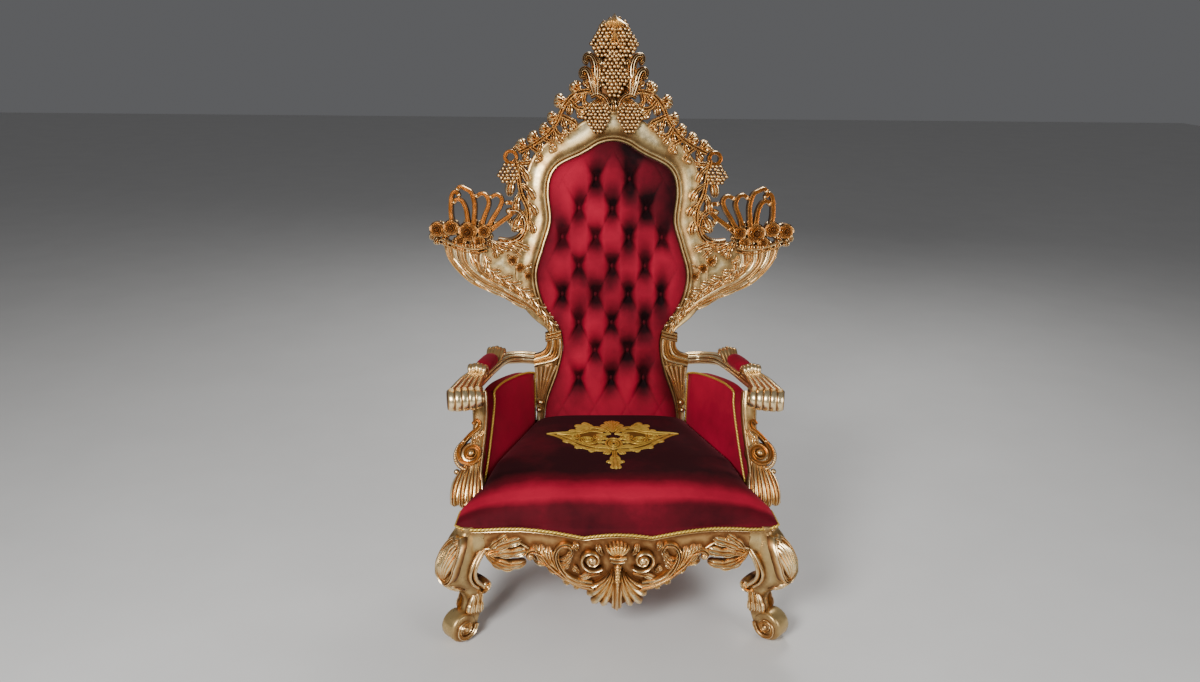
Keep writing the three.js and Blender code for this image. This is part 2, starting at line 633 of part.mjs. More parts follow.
// The small cushion on an arm, grown by a little for the hollow that holds it.
function armPadShape(grow = 0) {
  const line = (t) => {
    const [x, y, z] = armLine(mix(padSpan[0] - 0.004 * grow, padSpan[1] + 0.004 * grow, t));
    return [x, y, z + armHalf.up - 2];
  };
  return sweepBar(line, 4, (t) => {
    const swell = Math.sin(Math.PI * mix(0.16, 0.84, t)) ** 0.5;
    return [21 * swell + grow, 17 * swell + grow];
  });
}

// An arm's support: it rakes forward and out in an S to the side rail, with a volute and a leaf.
const supportLine = smooth([
  [424, -84, 662], [420, -104, 618], [418, -150, 556], [428, -206, 488], [436, -262, 420],
  [438, -288, railTop + gap],
]);

function armSupport() {
  const post = sweepBar((t) => supportLine(1 - t), 7, (t) => [mix(27, 22, t), 20]);
  const onFront = (u, v, w) => {
    const along = clamp((662 - v) / (662 - railTop), 0, 1);
    const [x, y] = supportLine(along);
    return [x + u, y - 22 - w, v];
  };
  const carving = [
    strap(onFront, spiral([24, 492], 38, 10, 2.2, -1.2),
      { width: 11, height: 16, base: -20, steps: 5, section: ridge }),
    ...[-6, 26].map((u, i) => leaf(onFront, [2 + 8 * i, 462], [u, 394 + 4 * i],
      { bend: 0.14, width: 18, height: 15, base: -24 })),
  ];
  const cut = new THREE.BoxGeometry(400, 700, 200).translate(cornerX, 0, railTop + gap - 100);
  const over = solid(armRest(gap));
  return geometryOf(fuse([post, ...carving]).subtract(solid(cut)).subtract(over));
}

// The upholstered side under an arm: it follows the seat below, the support in front and the arm above.
function armPanel() {
  const columns = 5;
  const rows = 3;
  const low = railTop + gap;
  const place = (a, b, out) => {
    const y = mix(supportLine(1 - b)[1] + 28, panelBackY, a);
    const foot = Math.max(seatHalf(y) + 1.5, armJoint + 2);
    const [, , armZ] = armLine(mix(0.8, 0.1, a));
    const top = armZ - armHalf.up - 24 + 14 * (1 - (2 * a - 1) ** 4);
    return [foot + panelLean * b ** 1.3 * (1 - a ** 2) + out, y, mix(low, top, b)];
  };
  const rings = range(columns + 1).map((i) => {
    const a = i / columns;
    const inner = range(rows + 1).map((j) => place(a, j / rows, 0));
    const outer = range(rows + 1).map((j) => place(a, 1 - j / rows, panelThickness));
    return [...inner, ...outer];
  });
  return skin(rings);
}

// The whole chair
const throne = new THREE.Group();
throne.position.y = originShift;

function add(group, name, geometry, finish) {
  const mesh = new THREE.Mesh(geometryOf(solid(geometry)), new THREE.MeshStandardMaterial(finish));
  mesh.name = name;
  group.add(mesh);
  return mesh;
}

const back = new THREE.Group();
back.position.set(0, backFootY, backFootZ);
back.rotation.x = -backTilt;
throne.add(back);
add(back, 'back_frame', backFrame(), champagne);
add(back, 'back_pad', backPad(), velvet);
tufts.forEach(([u, v], i) => {
  const number = String(i + 1).padStart(2, '0');
  add(back, `back_button_${number}`, button(u, v), velvet);
});

add(throne, 'seat_cushion', seatCushion(), velvet);
add(throne, 'front_rail', frontRail(), gilt);
add(throne, 'rear_rail', rearRail(), champagne);

const legShape = frontLeg();
const pairs = {
  side_rail: [sideRail(), champagne],
  rear_leg: [rearLeg().translate(rearBlock.x, rearBlock.y, 0), champagne],
  arm: [arm(), gilt],
  arm_pad: [armPadShape(), velvet],
  arm_support: [armSupport(), gilt],
  arm_panel: [armPanel(), velvet],
};
for (const [side, sign] of [['left', -1], ['right', 1]]) {
  const leg = add(throne, `front_leg_${side}`, legShape, gilt);
  leg.position.set(sign * cornerX, cornerY, 0);
  leg.rotation.z = sign > 0 ? -Math.PI / 4 : (-3 * Math.PI) / 4;
  for (const [name, [geometry, finish]] of Object.entries(pairs)) {
    add(throne, `${name}_${side}`, sign > 0 ? geometry : mirrored(geometry), finish);
  }
}

export default throne;
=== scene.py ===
import bpy
import math
import random
import numpy as np
from mathutils import Matrix, Vector
from mathutils.kdtree import KDTree


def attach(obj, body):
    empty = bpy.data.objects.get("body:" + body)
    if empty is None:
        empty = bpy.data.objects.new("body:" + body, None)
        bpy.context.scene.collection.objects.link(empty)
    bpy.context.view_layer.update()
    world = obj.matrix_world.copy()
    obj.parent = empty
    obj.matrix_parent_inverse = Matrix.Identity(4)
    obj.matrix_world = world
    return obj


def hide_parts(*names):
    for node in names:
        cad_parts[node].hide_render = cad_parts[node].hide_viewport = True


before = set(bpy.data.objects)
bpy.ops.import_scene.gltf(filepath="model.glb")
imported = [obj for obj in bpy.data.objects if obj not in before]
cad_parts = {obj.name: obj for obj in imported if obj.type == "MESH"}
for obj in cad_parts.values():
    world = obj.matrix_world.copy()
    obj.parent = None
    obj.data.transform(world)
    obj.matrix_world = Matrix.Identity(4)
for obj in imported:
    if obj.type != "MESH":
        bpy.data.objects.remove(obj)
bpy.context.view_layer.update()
bpy.ops.object.select_all(action="DESELECT")
random.seed(11)
mm = 0.001  # the sizes below are in millimetres
tau = 2 * math.pi

chair = {"shift": 18.5, "tilt": math.radians(9), "backY": 200, "backZ": 460, "railTop": 372}


# small tools for carved and padded surfaces

def mix(a, b, t):
    return a + (b - a) * t


def ease(t, low=0.0, high=1.0):
    t = np.clip((np.asarray(t, float) - low) / (high - low), 0, 1)
    return t * t * (3 - 2 * t)


def settle(points):  # from the drawing's sizes to the chair's place
    return (np.asarray(points, float) + [0, chair["shift"], 0]) * mm


def turnRound(count):  # angles once round
    return np.linspace(0, tau, count, endpoint=False)


def softPower(x, power):  # a power that keeps the sign
    return np.sign(x) * np.abs(x) ** power


def runLength(line):  # the distance along the line at each of its points
    return np.concatenate([[0], np.cumsum(np.linalg.norm(np.diff(line, axis=0), axis=1))])


def evenLine(line, count):  # the same line with points at equal distances
    steps = runLength(line)
    at = np.linspace(0, steps[-1], count)
    return np.stack([np.interp(at, steps, line[:, k]) for k in range(line.shape[1])], -1)


def smoothLine(points, count=24, loop=False):  # a smooth line through the points
    p = np.array(points, float)
    p = np.vstack([p[-1], p, p[0], p[1]]) if loop else np.vstack([2 * p[0] - p[1], p, 2 * p[-1] - p[-2]])
    spans = len(p) - 3
    t = np.linspace(0, spans, spans * 24 + 1)
    i = np.minimum(t.astype(int), spans - 1)
    f = (t - i)[:, None]
    a, b, c, d = p[i], p[i + 1], p[i + 2], p[i + 3]
    square = 2 * a - 5 * b + 4 * c - d
    cube = 3 * b - a - 3 * c + d
    line = 0.5 * (2 * b + (c - a) * f + square * f ** 2 + cube * f ** 3)
    return evenLine(line, count + 1)[:-1] if loop else evenLine(line, count)


def swingLine(start, end, bend, t):  # swings sideways by a share of its length
    a, c = np.array(start, float), np.array(end, float)
    b = (a + c) / 2 + bend * np.array([-(c - a)[1], (c - a)[0]])
    return (1 - t) ** 2 * a + 2 * t * (1 - t) * b + t * t * c


def spiralLine(centre, outer, inner, start, turns, count=60):
    t = np.linspace(0, 1, count)
    r = outer * (inner / outer) ** t
    angle = start + tau * turns * t
    return np.stack([centre[0] + r * np.cos(angle), centre[1] + r * np.sin(angle)], -1)


def sidesOf(line, loop=False):  # unit vectors to the left of the line
    run = (np.roll(line, -1, 0) - np.roll(line, 1, 0)) if loop else np.gradient(line, axis=0)
    run = run / np.maximum(np.linalg.norm(run, axis=1, keepdims=True), 1e-9)
    return np.stack([-run[:, 1], run[:, 0]], -1)


def newWork():
    return {"verts": [], "faces": [], "relief": [], "count": 0}


def addSkin(work, rings, relief=0.5, loop=False, mirror=False):  # closed surface over a row of rings
    rings = np.asarray(rings, float)
    n, m = rings.shape[:2]
    index = work["count"] + np.arange(n * m).reshape(n, m)
    low = index if loop else index[:-1]
    high = np.roll(index, -1, 0) if loop else index[1:]
    quads = np.stack([low, np.roll(low, -1, 1), np.roll(high, -1, 1), high], -1)
    work["faces"] += quads.reshape(-1, 4).tolist()
    if not loop:
        work["faces"] += [index[0][::-1].tolist(), index[-1].tolist()]
    work["verts"].append(rings.reshape(-1, 3))
    work["relief"].append(np.broadcast_to(relief, (n, m)).reshape(-1))
    work["count"] += n * m
    if mirror:
        addSkin(work, (rings * [-1, 1, 1])[:, ::-1], np.broadcast_to(relief, (n, m))[:, ::-1], loop)


def addCopy(work, shape, points, relief):  # a modelled shape with its points moved to a place
    work["faces"] += [[i + work["count"] for i in face] for face in shape[1]]
    work["verts"].append(points)
    work["relief"].append(relief)
    work["count"] += len(points)


def finishWork(work, name, material, nodes=()):
    mesh = bpy.data.meshes.new(name)
    mesh.from_pydata(np.concatenate(work["verts"]).tolist(), [], work["faces"])
    layer = mesh.attributes.new("relief", "FLOAT", "POINT")
    layer.data.foreach_set("value", np.concatenate(work["relief"]).astype(np.float32))
    piece = bpy.data.objects.new(name, mesh)
    bpy.context.collection.objects.link(piece)
    return finishPiece(piece, material, nodes)


def finishPiece(piece, material, nodes=()):
    bpy.ops.object.select_all(action="DESELECT")
    piece.select_set(True)
    bpy.context.view_layer.objects.active = piece
    bpy.ops.object.mode_set(mode="EDIT")
    bpy.ops.mesh.select_all(action="SELECT")
    bpy.ops.mesh.normals_make_consistent(inside=False)
    bpy.ops.object.mode_set(mode="OBJECT")
    bpy.ops.object.shade_smooth_by_angle(angle=math.radians(50))
    piece.select_set(False)
    piece.data.materials.clear()
    piece.data.materials.append(material)
    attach(piece, "root")
    if nodes:
        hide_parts(*nodes)
    print(piece.name, len(piece.data.polygons), "faces")
    return piece


def pickFaces(piece, wanted):  # edit mode with these faces selected
    bpy.ops.object.mode_set(mode="EDIT")
    bpy.ops.mesh.select_mode(type="FACE")
    bpy.ops.mesh.select_all(action="DESELECT")
    bpy.ops.object.mode_set(mode="OBJECT")
    for face in piece.data.polygons:
        face.select = wanted(face)
    bpy.ops.object.mode_set(mode="EDIT")


def addBlock(name, low, high):  # a squared timber between two corners
    bpy.ops.object.select_all(action="DESELECT")
    low, high = settle(low), settle(high)
    bpy.ops.mesh.primitive_cube_add(size=1, location=(low + high) / 2, scale=high - low)
    bpy.ops.object.transform_apply(location=True, rotation=True, scale=True)
    piece = bpy.context.object
    piece.name = name
    return piece


def finishTimber(piece, tone, material, nodes, pair=True):
    bpy.ops.object.mode_set(mode="OBJECT")
    if pair:
        bpy.ops.object.modifier_add(type="MIRROR")
        piece.modifiers["Mirror"].use_mirror_merge = False
        bpy.ops.object.modifier_apply(modifier="Mirror")
    layer = piece.data.attributes.new("relief", "FLOAT", "POINT")
    layer.data.foreach_set("value", [tone] * len(piece.data.vertices))
    return finishPiece(piece, material, nodes)


# finishes

def newMaterial(name, **values):
    material = bpy.data.materials.new(name)
    material.use_nodes = True
    shader = material.node_tree.nodes["Principled BSDF"]
    for key, value in values.items():
        shader.inputs[key].default_value = value
    return material, material.node_tree.nodes, material.node_tree.links, shader


def addRamp(nodes, links, level, stops, socket):  # colours along a level, into one socket
    ramp = nodes.new("ShaderNodeValToRGB")
    while len(ramp.color_ramp.elements) < len(stops):
        ramp.color_ramp.elements.new(0.5)
    for element, (place, colour) in zip(ramp.color_ramp.elements, stops):
        element.position = place
        element.color = (*colour, 1)
    links.new(level, ramp.inputs["Fac"])
    links.new(ramp.outputs["Color"], socket)


def addNoise(nodes, links, scale, detail=4.0):
    where = nodes.new("ShaderNodeTexCoord")
    noise = nodes.new("ShaderNodeTexNoise")
    noise.inputs["Scale"].default_value = scale
    noise.inputs["Detail"].default_value = detail
    noise.inputs["Roughness"].default_value = 0.6
    links.new(where.outputs["Object"], noise.inputs["Vector"])
    return noise.outputs["Fac"]


def addRelief(nodes):  # the tone that the modelling gives each point, which on the velvet also holds painted shade and painted highlight
    relief = nodes.new("ShaderNodeAttribute")
    relief.attribute_name = "relief"
    return relief.outputs["Fac"]


def addShare(nodes, links, level, extra, share):  # the level with a share of something else added
    add = nodes.new("ShaderNodeMath")
    add.operation = "MULTIPLY_ADD"
    add.inputs[1].default_value = share
    links.new(extra, add.inputs[0])
    links.new(level, add.inputs[2])
    return add.outputs[0]


def addBump(nodes, links, height, strength, distance, shader):
    bump = nodes.new("ShaderNodeBump")
    bump.inputs["Strength"].default_value = strength
    bump.inputs["Distance"].default_value = distance
    links.new(height, bump.inputs["Height"])
    links.new(bump.outputs["Normal"], shader.inputs["Normal"])


giltLook = {
    "metal": 0.92, "dull": 0.34, "grain": 38, "mottle": 0.3,
    "glaze": (0.026, 0.008, 0.003), "copper": (0.25, 0.105, 0.035),
    "gold": (0.64, 0.37, 0.14), "bright": (0.96, 0.75, 0.42),
}
threadLook = {
    "metal": 0.6, "dull": 0.48, "grain": 260, "mottle": 0.3,
    "glaze": (0.1, 0.05, 0.006), "copper": (0.3, 0.17, 0.03),
    "gold": (0.66, 0.41, 0.055), "bright": (0.9, 0.62, 0.12),
}
creamLook = {
    "metal": 0.8, "grain": 14, "mottle": 0.5, "laps": 55, "hollow": (0.12, 0.05, 0.02),
    "edge": (0.28, 0.14, 0.045), "leaf": (0.6, 0.42, 0.18), "pale": (0.86, 0.69, 0.38),
}
velvetLook = {
    "shadow": (0.008, 0.0, 0.001), "deep": (0.1, 0.002, 0.008), "pile": (0.42, 0.007, 0.032),
    "sheen": 0.2, "sweep": 3.2, "nap": 26, "weave": 900,
}


def giltMaterial(name, look):  # leaf on the heights, dark glaze in the hollows
    material, nodes, links, shader = newMaterial(name, Metallic=look["metal"])
    noise = addNoise(nodes, links, look["grain"])
    level = addShare(nodes, links, addRelief(nodes), noise, look["mottle"])
    tones = [(0.18, look["glaze"]), (0.45, look["copper"]), (0.72, look["gold"]), (1.0, look["bright"])]
    addRamp(nodes, links, level, tones, shader.inputs["Base Color"])
    gloss = [(0.2, (0.55,) * 3), (0.6, (look["dull"],) * 3), (1.0, (look["dull"] * 0.75,) * 3)]
    addRamp(nodes, links, level, gloss, shader.inputs["Roughness"])
    addBump(nodes, links, noise, 0.12, 0.002, shader)
    return material


def creamMaterial(name, look):  # pale burnished leaf that turns brown beside the carving
    material, nodes, links, shader = newMaterial(name, Metallic=look["metal"])
    noise = addNoise(nodes, links, look["grain"], 6)
    level = addShare(nodes, links, addRelief(nodes), noise, look["mottle"])
    tones = [(0.22, look["hollow"]), (0.5, look["edge"]), (0.82, look["leaf"]), (1.0, look["pale"])]
    addRamp(nodes, links, level, tones, shader.inputs["Base Color"])
    laid = addNoise(nodes, links, look["laps"], 3)  # where the sheets of leaf lap and are rubbed
    addRamp(nodes, links, laid, [(0.35, (0.27,) * 3), (0.65, (0.42,) * 3)], shader.inputs["Roughness"])
    addBump(nodes, links, laid, 0.1, 0.0015, shader)
    return material


def velvetMaterial(name, look):
    material, nodes, links, shader = newMaterial(name, Roughness=0.78)
    shader.inputs["Sheen Weight"].default_value = look["sheen"]
    shader.inputs["Sheen Roughness"].default_value = 0.35
    shader.inputs["Sheen Tint"].default_value = (1.0, 0.22, 0.28, 1)
    shader.inputs["Specular IOR Level"].default_value = 0.15
    level = addRelief(nodes)
    for scale, detail, share in ((look["nap"], 5, 0.3), (look["sweep"], 2, 0.75)):
        stroke = nodes.new("ShaderNodeMath")  # pile brushed here and there
        stroke.operation = "SUBTRACT"
        stroke.inputs[1].default_value = 0.42
        links.new(addNoise(nodes, links, scale, detail), stroke.inputs[0])
        level = addShare(nodes, links, level, stroke.outputs[0], share)
    tones = [(0.05, look["shadow"]), (0.4, look["deep"]), (0.95, look["pile"])]
    addRamp(nodes, links, level, tones, shader.inputs["Base Color"])
    addBump(nodes, links, addNoise(nodes, links, look["weave"], 2), 0.25, 0.0006, shader)
    return material


gilt = giltMaterial("carvedGilt", giltLook)
cream = creamMaterial("champagneLeaf", creamLook)
velvet = velvetMaterial("crimsonVelvet", velvetLook)
thread = giltMaterial("goldThread", threadLook)
print("finishes ready")


# carving tools: u across, v up and w out of the carved face

def roundSection(count=9):
    a = np.linspace(0, math.pi, count)
    return np.stack([-np.cos(a), np.sin(a) ** 0.75, 0.05 + 0.72 * np.sin(a)], -1)


def flutedSection(ridges=3, steps=5):  # a ribbon carved with parallel flutes
    a = np.linspace(-1, 1, ridges * steps + 1)
    swell = np.abs(np.cos(math.pi * ridges * (a + 1) / 2 + math.pi / 2)) ** 0.7
    rise = (0.62 + 0.38 * swell) * np.sqrt(1 - 0.55 * a ** 2)
    rise[[0, -1]] = 0
    return np.stack([a, rise, 0.12 + 0.68 * swell], -1)


channelHalf = [(-1, 0, 0), (-0.98, 0.6, 0.25), (-0.88, 0.92, 0.66), (-0.7, 1, 0.84), (-0.48, 0.84, 0.58),
               (-0.25, 0.66, 0.42)]  # a rolled edge on both sides of a hollow
channelRest = [(-a, h, tone) for a, h, tone in channelHalf[::-1]]
channelSection = np.array(channelHalf + [(0, 0.62, 0.5)] + channelRest)


def sweepOn(work, onto, line, half, top, base=-6, section=None, loop=False, mirror=True):
    section = roundSection() if section is None else section
    section = np.vstack([section, [(0.7, 0, 0.42), (-0.7, 0, 0.42)]])  # the plain rear
    side = sidesOf(line, loop)
    half = np.broadcast_to(half, len(line))[:, None]
    top = np.broadcast_to(top, len(line))[:, None]
    base = np.broadcast_to(base, len(line))[:, None]
    u = line[:, :1] + side[:, :1] * section[:, 0] * half
    v = line[:, 1:] + side[:, 1:] * section[:, 0] * half
    rings = onto(u, v, base + (top - base) * section[:, 1])
    addSkin(work, rings, section[:, 2], loop, mirror)


def leafOn(work, onto, start, end, bend=0.2, width=14, height=16, lobes=3, base=-6, lift=0.0, lanes=3,
           mirror=True):
    count = 8 * lobes + 9  # an acanthus leaf: lobed edge, flutes along it and a tip that rolls over
    even = np.linspace(0, 1, count)[:, None]
    t = mix(even, np.sin(even * math.pi / 2), 0.75)  # closer steps round the tip
    line = swingLine(start, end, bend, t)
    s = np.linspace(-1, 1, 5 * lanes + 2)[None, :]
    flute = np.abs(np.cos(math.pi * lanes * s / 2)) ** 0.7
    beat = (lobes * t ** 0.9) % 1.0
    notch = 1 - np.sin(math.pi * np.clip(beat, 0.02, 0.98) ** 0.8) ** 0.7
    tip = np.clip(1.25 * width / np.hypot(*np.subtract(end, start)), 0.12, 0.34)  # rounds off
    blunt = np.sqrt(np.clip(1 - (np.clip(t - 1 + tip, 0, 1) / (1.01 * tip)) ** 2, 0.02, 1))
    edge = width * mix(0.4, 1, ease(t, 0, 0.55)) * blunt * (1 - 0.3 * notch * (t < 0.9))
    swell = (0.5 + 0.5 * flute) * (1 - 0.5 * s ** 2) * (0.72 + 0.28 * np.sin(math.pi * t))
    swell = swell * (1 - 0.25 * notch * np.abs(s)) * mix(0.4, 1, blunt)
    arch = lift * t ** 1.6 - (0.5 * abs(lift) + 4) * ease(t, 0.84, 1)
    rise = base + (height - base) * swell + arch
    shade = np.clip(0.1 + 0.72 * flute * (1 - 0.4 * notch) + 0.16 * t, 0, 1)
    side = sidesOf(line)  # across the leaf
    u = line[:, :1] + side[:, :1] * s * edge
    v = line[:, 1:] + side[:, 1:] * s * edge
    u, v = (np.hstack([k, k[:, -1:], k[:, :1]]) for k in (u, v))
    foot = base + arch
    rings = onto(u, v, np.hstack([rise, foot, foot]))
    addSkin(work, rings, np.hstack([shade, 0 * t + 0.4, 0 * t + 0.4]), mirror=mirror)


def shellOn(work, onto, foot, half, top, droop, width, base, lift, mirror=True):  # seven ribs from a foot
    for k in range(7):
        lean = (k - 3) / 3
        tip = (half * lean, top - droop * lean ** 2)
        height = 24 - 4 * abs(lean)
        leafOn(work, onto, (5 * lean, foot), tip, -0.1 * lean, width, height, 1, base, lift, 1, mirror)


def grapeShape():  # one grape, modelled once
    bpy.ops.mesh.primitive_uv_sphere_add(segments=9, ring_count=6, radius=1, location=(0, 0, 0))
    ball = bpy.context.object
    verts = np.array([v.co[:] for v in ball.data.vertices])
    faces = [list(p.vertices) for p in ball.data.polygons]
    bpy.data.objects.remove(ball)
    return verts, faces


grape = grapeShape()


def ballsOn(work, onto, places, mirror=True):  # places of (u, v, w, radius)
    p = grape[0]
    relief = 0.12 + 0.6 * np.maximum(p[:, 2], -0.6 * p[:, 2])
    for way in (1, -1) if mirror else (1,):
        for u, v, w, r in places:
            ball = onto(u + r * p[:, 0], v + r * p[:, 1], w + r * p[:, 2])
            addCopy(work, grape, ball * [way, 1, 1], relief)


def bunchOn(work, onto, centre, halfAt, low, high, pitch=14.5, w=0, dome=24, mirror=True):
    places = []  # grapes inside an outline, in staggered rows over a dome
    rows = int((high - low) / (pitch * 0.84)) + 1
    for row in range(rows):
        v = high - row * pitch * 0.84
        share = (v - low) / (high - low)
        reach = halfAt(share)
        for i in range(-9, 10):
            u = (i + 0.5 * (row % 2)) * pitch
            if abs(u) > reach:
                continue
            rise = 0.55 + 0.45 * math.sin(math.pi * min(1, max(0, mix(0.1, 0.95, share))))
            crown = math.sqrt(max(0, 1 - (u / (reach + pitch * 0.55)) ** 2)) * rise
            jitter = [random.uniform(-1, 1) for k in range(4)]
            radius = pitch * (0.56 + 0.04 * jitter[3])
            places.append((centre + u + 1.6 * jitter[0], v + 1.6 * jitter[1],
                           w + dome * crown + 2 * jitter[2], radius))
    ballsOn(work, onto, places, mirror)


petals = [(1.06, 5, 0.3, -0.1, 0.3), (0.74, 5, 0.95, 0.12, 0.34), (0.46, 4, 0.2, 0.34, 0.34),
          (0.2, 3, 0.7, 0.6, 0.14)]  # reach, count, turn, foot and cup of each ring


def grapeOutline(half, foot, rise, power):  # half the width of a bunch at a share of its height
    return lambda share: half * math.sin(math.pi * (foot + rise * share)) ** power


def roseOn(work, onto, centre, radius, w):  # rings of cupped petals round a bud
    a = turnRound(40)[None, :]
    r = np.concatenate([[1.12], np.linspace(1.1, 0.03, 22)])[:, None]
    out = np.full((len(r), a.shape[1]), -0.35)
    shade = np.full(out.shape, 0.05)
    for reach, count, phase, low, cup in petals:
        petal = reach * (0.84 + 0.16 * np.abs(np.cos(count * (a - phase) / 2)) ** 0.5)
        share = r / petal
        inside = share <= 1
        out = np.where(inside, np.maximum(out, low + cup * share ** 2.2), out)
        shade = np.where(inside, 0.05 + 0.72 * share ** 2.5, shade)
    out = out * radius
    out[0] = -16 - w
    u = centre[0] + radius * r * np.cos(a)
    v = centre[1] + radius * r * np.sin(a)
    shade[0] = 0.4
    addSkin(work, onto(u, v, w + out), shade, mirror=True)


def plateOn(work, onto, outline, front, rear, bevel=5, relief=0.3, behind=0.5):
    line = np.array(outline, float)  # a flat board with a rounded front edge
    side = sidesOf(line, True)
    turn = np.sign(np.sum(line[:, 0] * np.roll(line[:, 1], -1) - np.roll(line[:, 0], -1) * line[:, 1]))
    steps = ((0, rear), (0, front - bevel), (0.3 * bevel, front - 0.3 * bevel), (bevel, front))
    rings = [onto(*(line + side * turn * inset).T, np.full(len(line), float(w))) for inset, w in steps]
    shade = np.array([behind, mix(behind, relief, 0.6), relief, relief])
    addSkin(work, rings, shade[:, None])


# the back

back = {
    "opening": [(236, -60), (220, 47), (182, 155), (166, 240), (178, 302), (231, 388), (253, 486),
                (228, 585), (205, 668), (212, 758), (205, 812), (184, 845), (152, 865), (116, 881),
                (84, 898), (44, 922), (0, 931)],
    "bandAt": [-60, 0, 47, 100, 155, 208, 245, 285, 330, 400, 590, 664, 700, 740, 800, 860, 931],
    "band": [28, 28, 42, 62, 76, 58, 46, 36, 42, 70, 84, 78, 70, 76, 84, 90, 94],
}


def onBack(u, v, w):
    s, c = math.sin(chair["tilt"]), math.cos(chair["tilt"])
    u, v, w = np.broadcast_arrays(u, v, w)
    y = chair["backY"] + chair["shift"] + v * s - w * c
    z = chair["backZ"] + v * c + w * s
    return np.stack([u, y, z], -1) * mm


openingHalf = smoothLine(back["opening"] + [(-44, 922)], 170)
openingHalf = openingHalf[openingHalf[:, 0] >= 0]
openingHalf[-1] = (0, 931)


def openingWidth(v):
    return np.interp(v, openingHalf[:, 1], openingHalf[:, 0])


def buildBackFrame():
    work = newWork()
    line = np.vstack([openingHalf, (openingHalf * [-1, 1])[-2::-1]])
    out = -sidesOf(line)
    wide = np.interp(line[:, 1], back["bandAt"], back["band"])[:, None]
    # offset and height of each step: rope bead, fillet, ogee, broad cove, rounded edge, flat rear
    near = np.array([(0, -40), (0, 3), (1.2, 9), (4, 12.5), (7.5, 12), (9.5, 8), (10.5, 5), (11.5, 6),
                     (14, 10.5), (17, 12), (20, 10.5), (23, 6.5)])
    far = np.array([(0.5, 4.5), (0.62, 2.5), (0.74, 2.5), (0.86, 4.5), (0.94, 5), (0.985, 2), (1, -5),
                    (1, -38), (0.95, -45), (0.1, -45)])
    scale = np.minimum(1, wide / 72)
    offset = np.hstack([near[:, 0] * scale, far[:, 0] * wide])
    height = np.broadcast_to(np.concatenate([near[:, 1], far[:, 1]]), offset.shape)
    u = line[:, :1] + out[:, :1] * offset
    v = line[:, 1:] + out[:, 1:] * offset
    shade = np.array([0.2, 0.3, 0.42, 0.56, 0.5, 0.28, 0.08, 0.3, 0.52, 0.62, 0.5, 0.3,
                      0.62, 0.78, 0.82, 0.76, 0.62, 0.45, 0.4, 0.4, 0.4, 0.4])
    addSkin(work, onBack(u, v, height), shade)
    inside = smoothLine([(200, 312), (228, 372), (250, 430), (258, 490), (246, 545), (228, 600), (222, 660),
                         (262, 694)], 60)
    outside = smoothLine([(200, 310), (262, 380), (330, 440), (398, 474), (436, 516), (430, 572),
                          (372, 592), (312, 612), (286, 650), (264, 696)], 60)
    share = np.linspace(0, 1, 26)
    flat = inside[:, None, :] + (outside - inside)[:, None, :] * share[None, :, None]
    ends = np.stack([outside, inside], 1)
    sheet = np.concatenate([flat, ends], 1)
    dish = np.concatenate([3 - 2.5 * np.sin(math.pi * share), [-42, -42]])
    addSkin(work, onBack(sheet[..., 0], sheet[..., 1], dish), 0.78, mirror=True)
    plateOn(work, onBack, [(-22, 1000), (22, 1000), (26, 1040), (-26, 1040)], 3, -44, 3, 0.8)
    plateOn(work, onBack, [(-262, -86), (262, -86), (262, -38), (-262, -38)], -4, -44, 3, 0.7, 0.75)
    finishWork(work, "backFrame", cream, ["back_frame"])


wing = {
    "outer": [(572, 604), (550, 536), (486, 466), (404, 426), (316, 388), (250, 338), (218, 292)],
    "inner": [(424, 578), (432, 520), (396, 482), (332, 452), (272, 404), (222, 346), (188, 292)],
    "ribs": 6,
    "ribbons": [[(537, 668), (540, 715), (536, 752), (524, 764), (513, 752)],
                [(485, 672), (490, 706), (503, 733), (520, 738), (530, 728)],
                [(463, 676), (461, 722), (472, 760), (490, 772), (508, 780), (518, 770)],
                [(431, 676), (414, 722), (420, 748), (437, 758), (454, 748)],
                [(404, 670), (377, 714), (371, 740), (386, 754), (408, 746)],
                [(390, 652), (344, 686), (328, 708), (336, 726), (354, 728)]],
    "roses": [(586, 638, 25), (540, 644, 25), (484, 630, 32), (430, 632, 22), (508, 600, 20),
              (446, 598, 19)],
    "blossoms": [(338, 534, 17), (310, 510, 16), (282, 484, 15)],
}


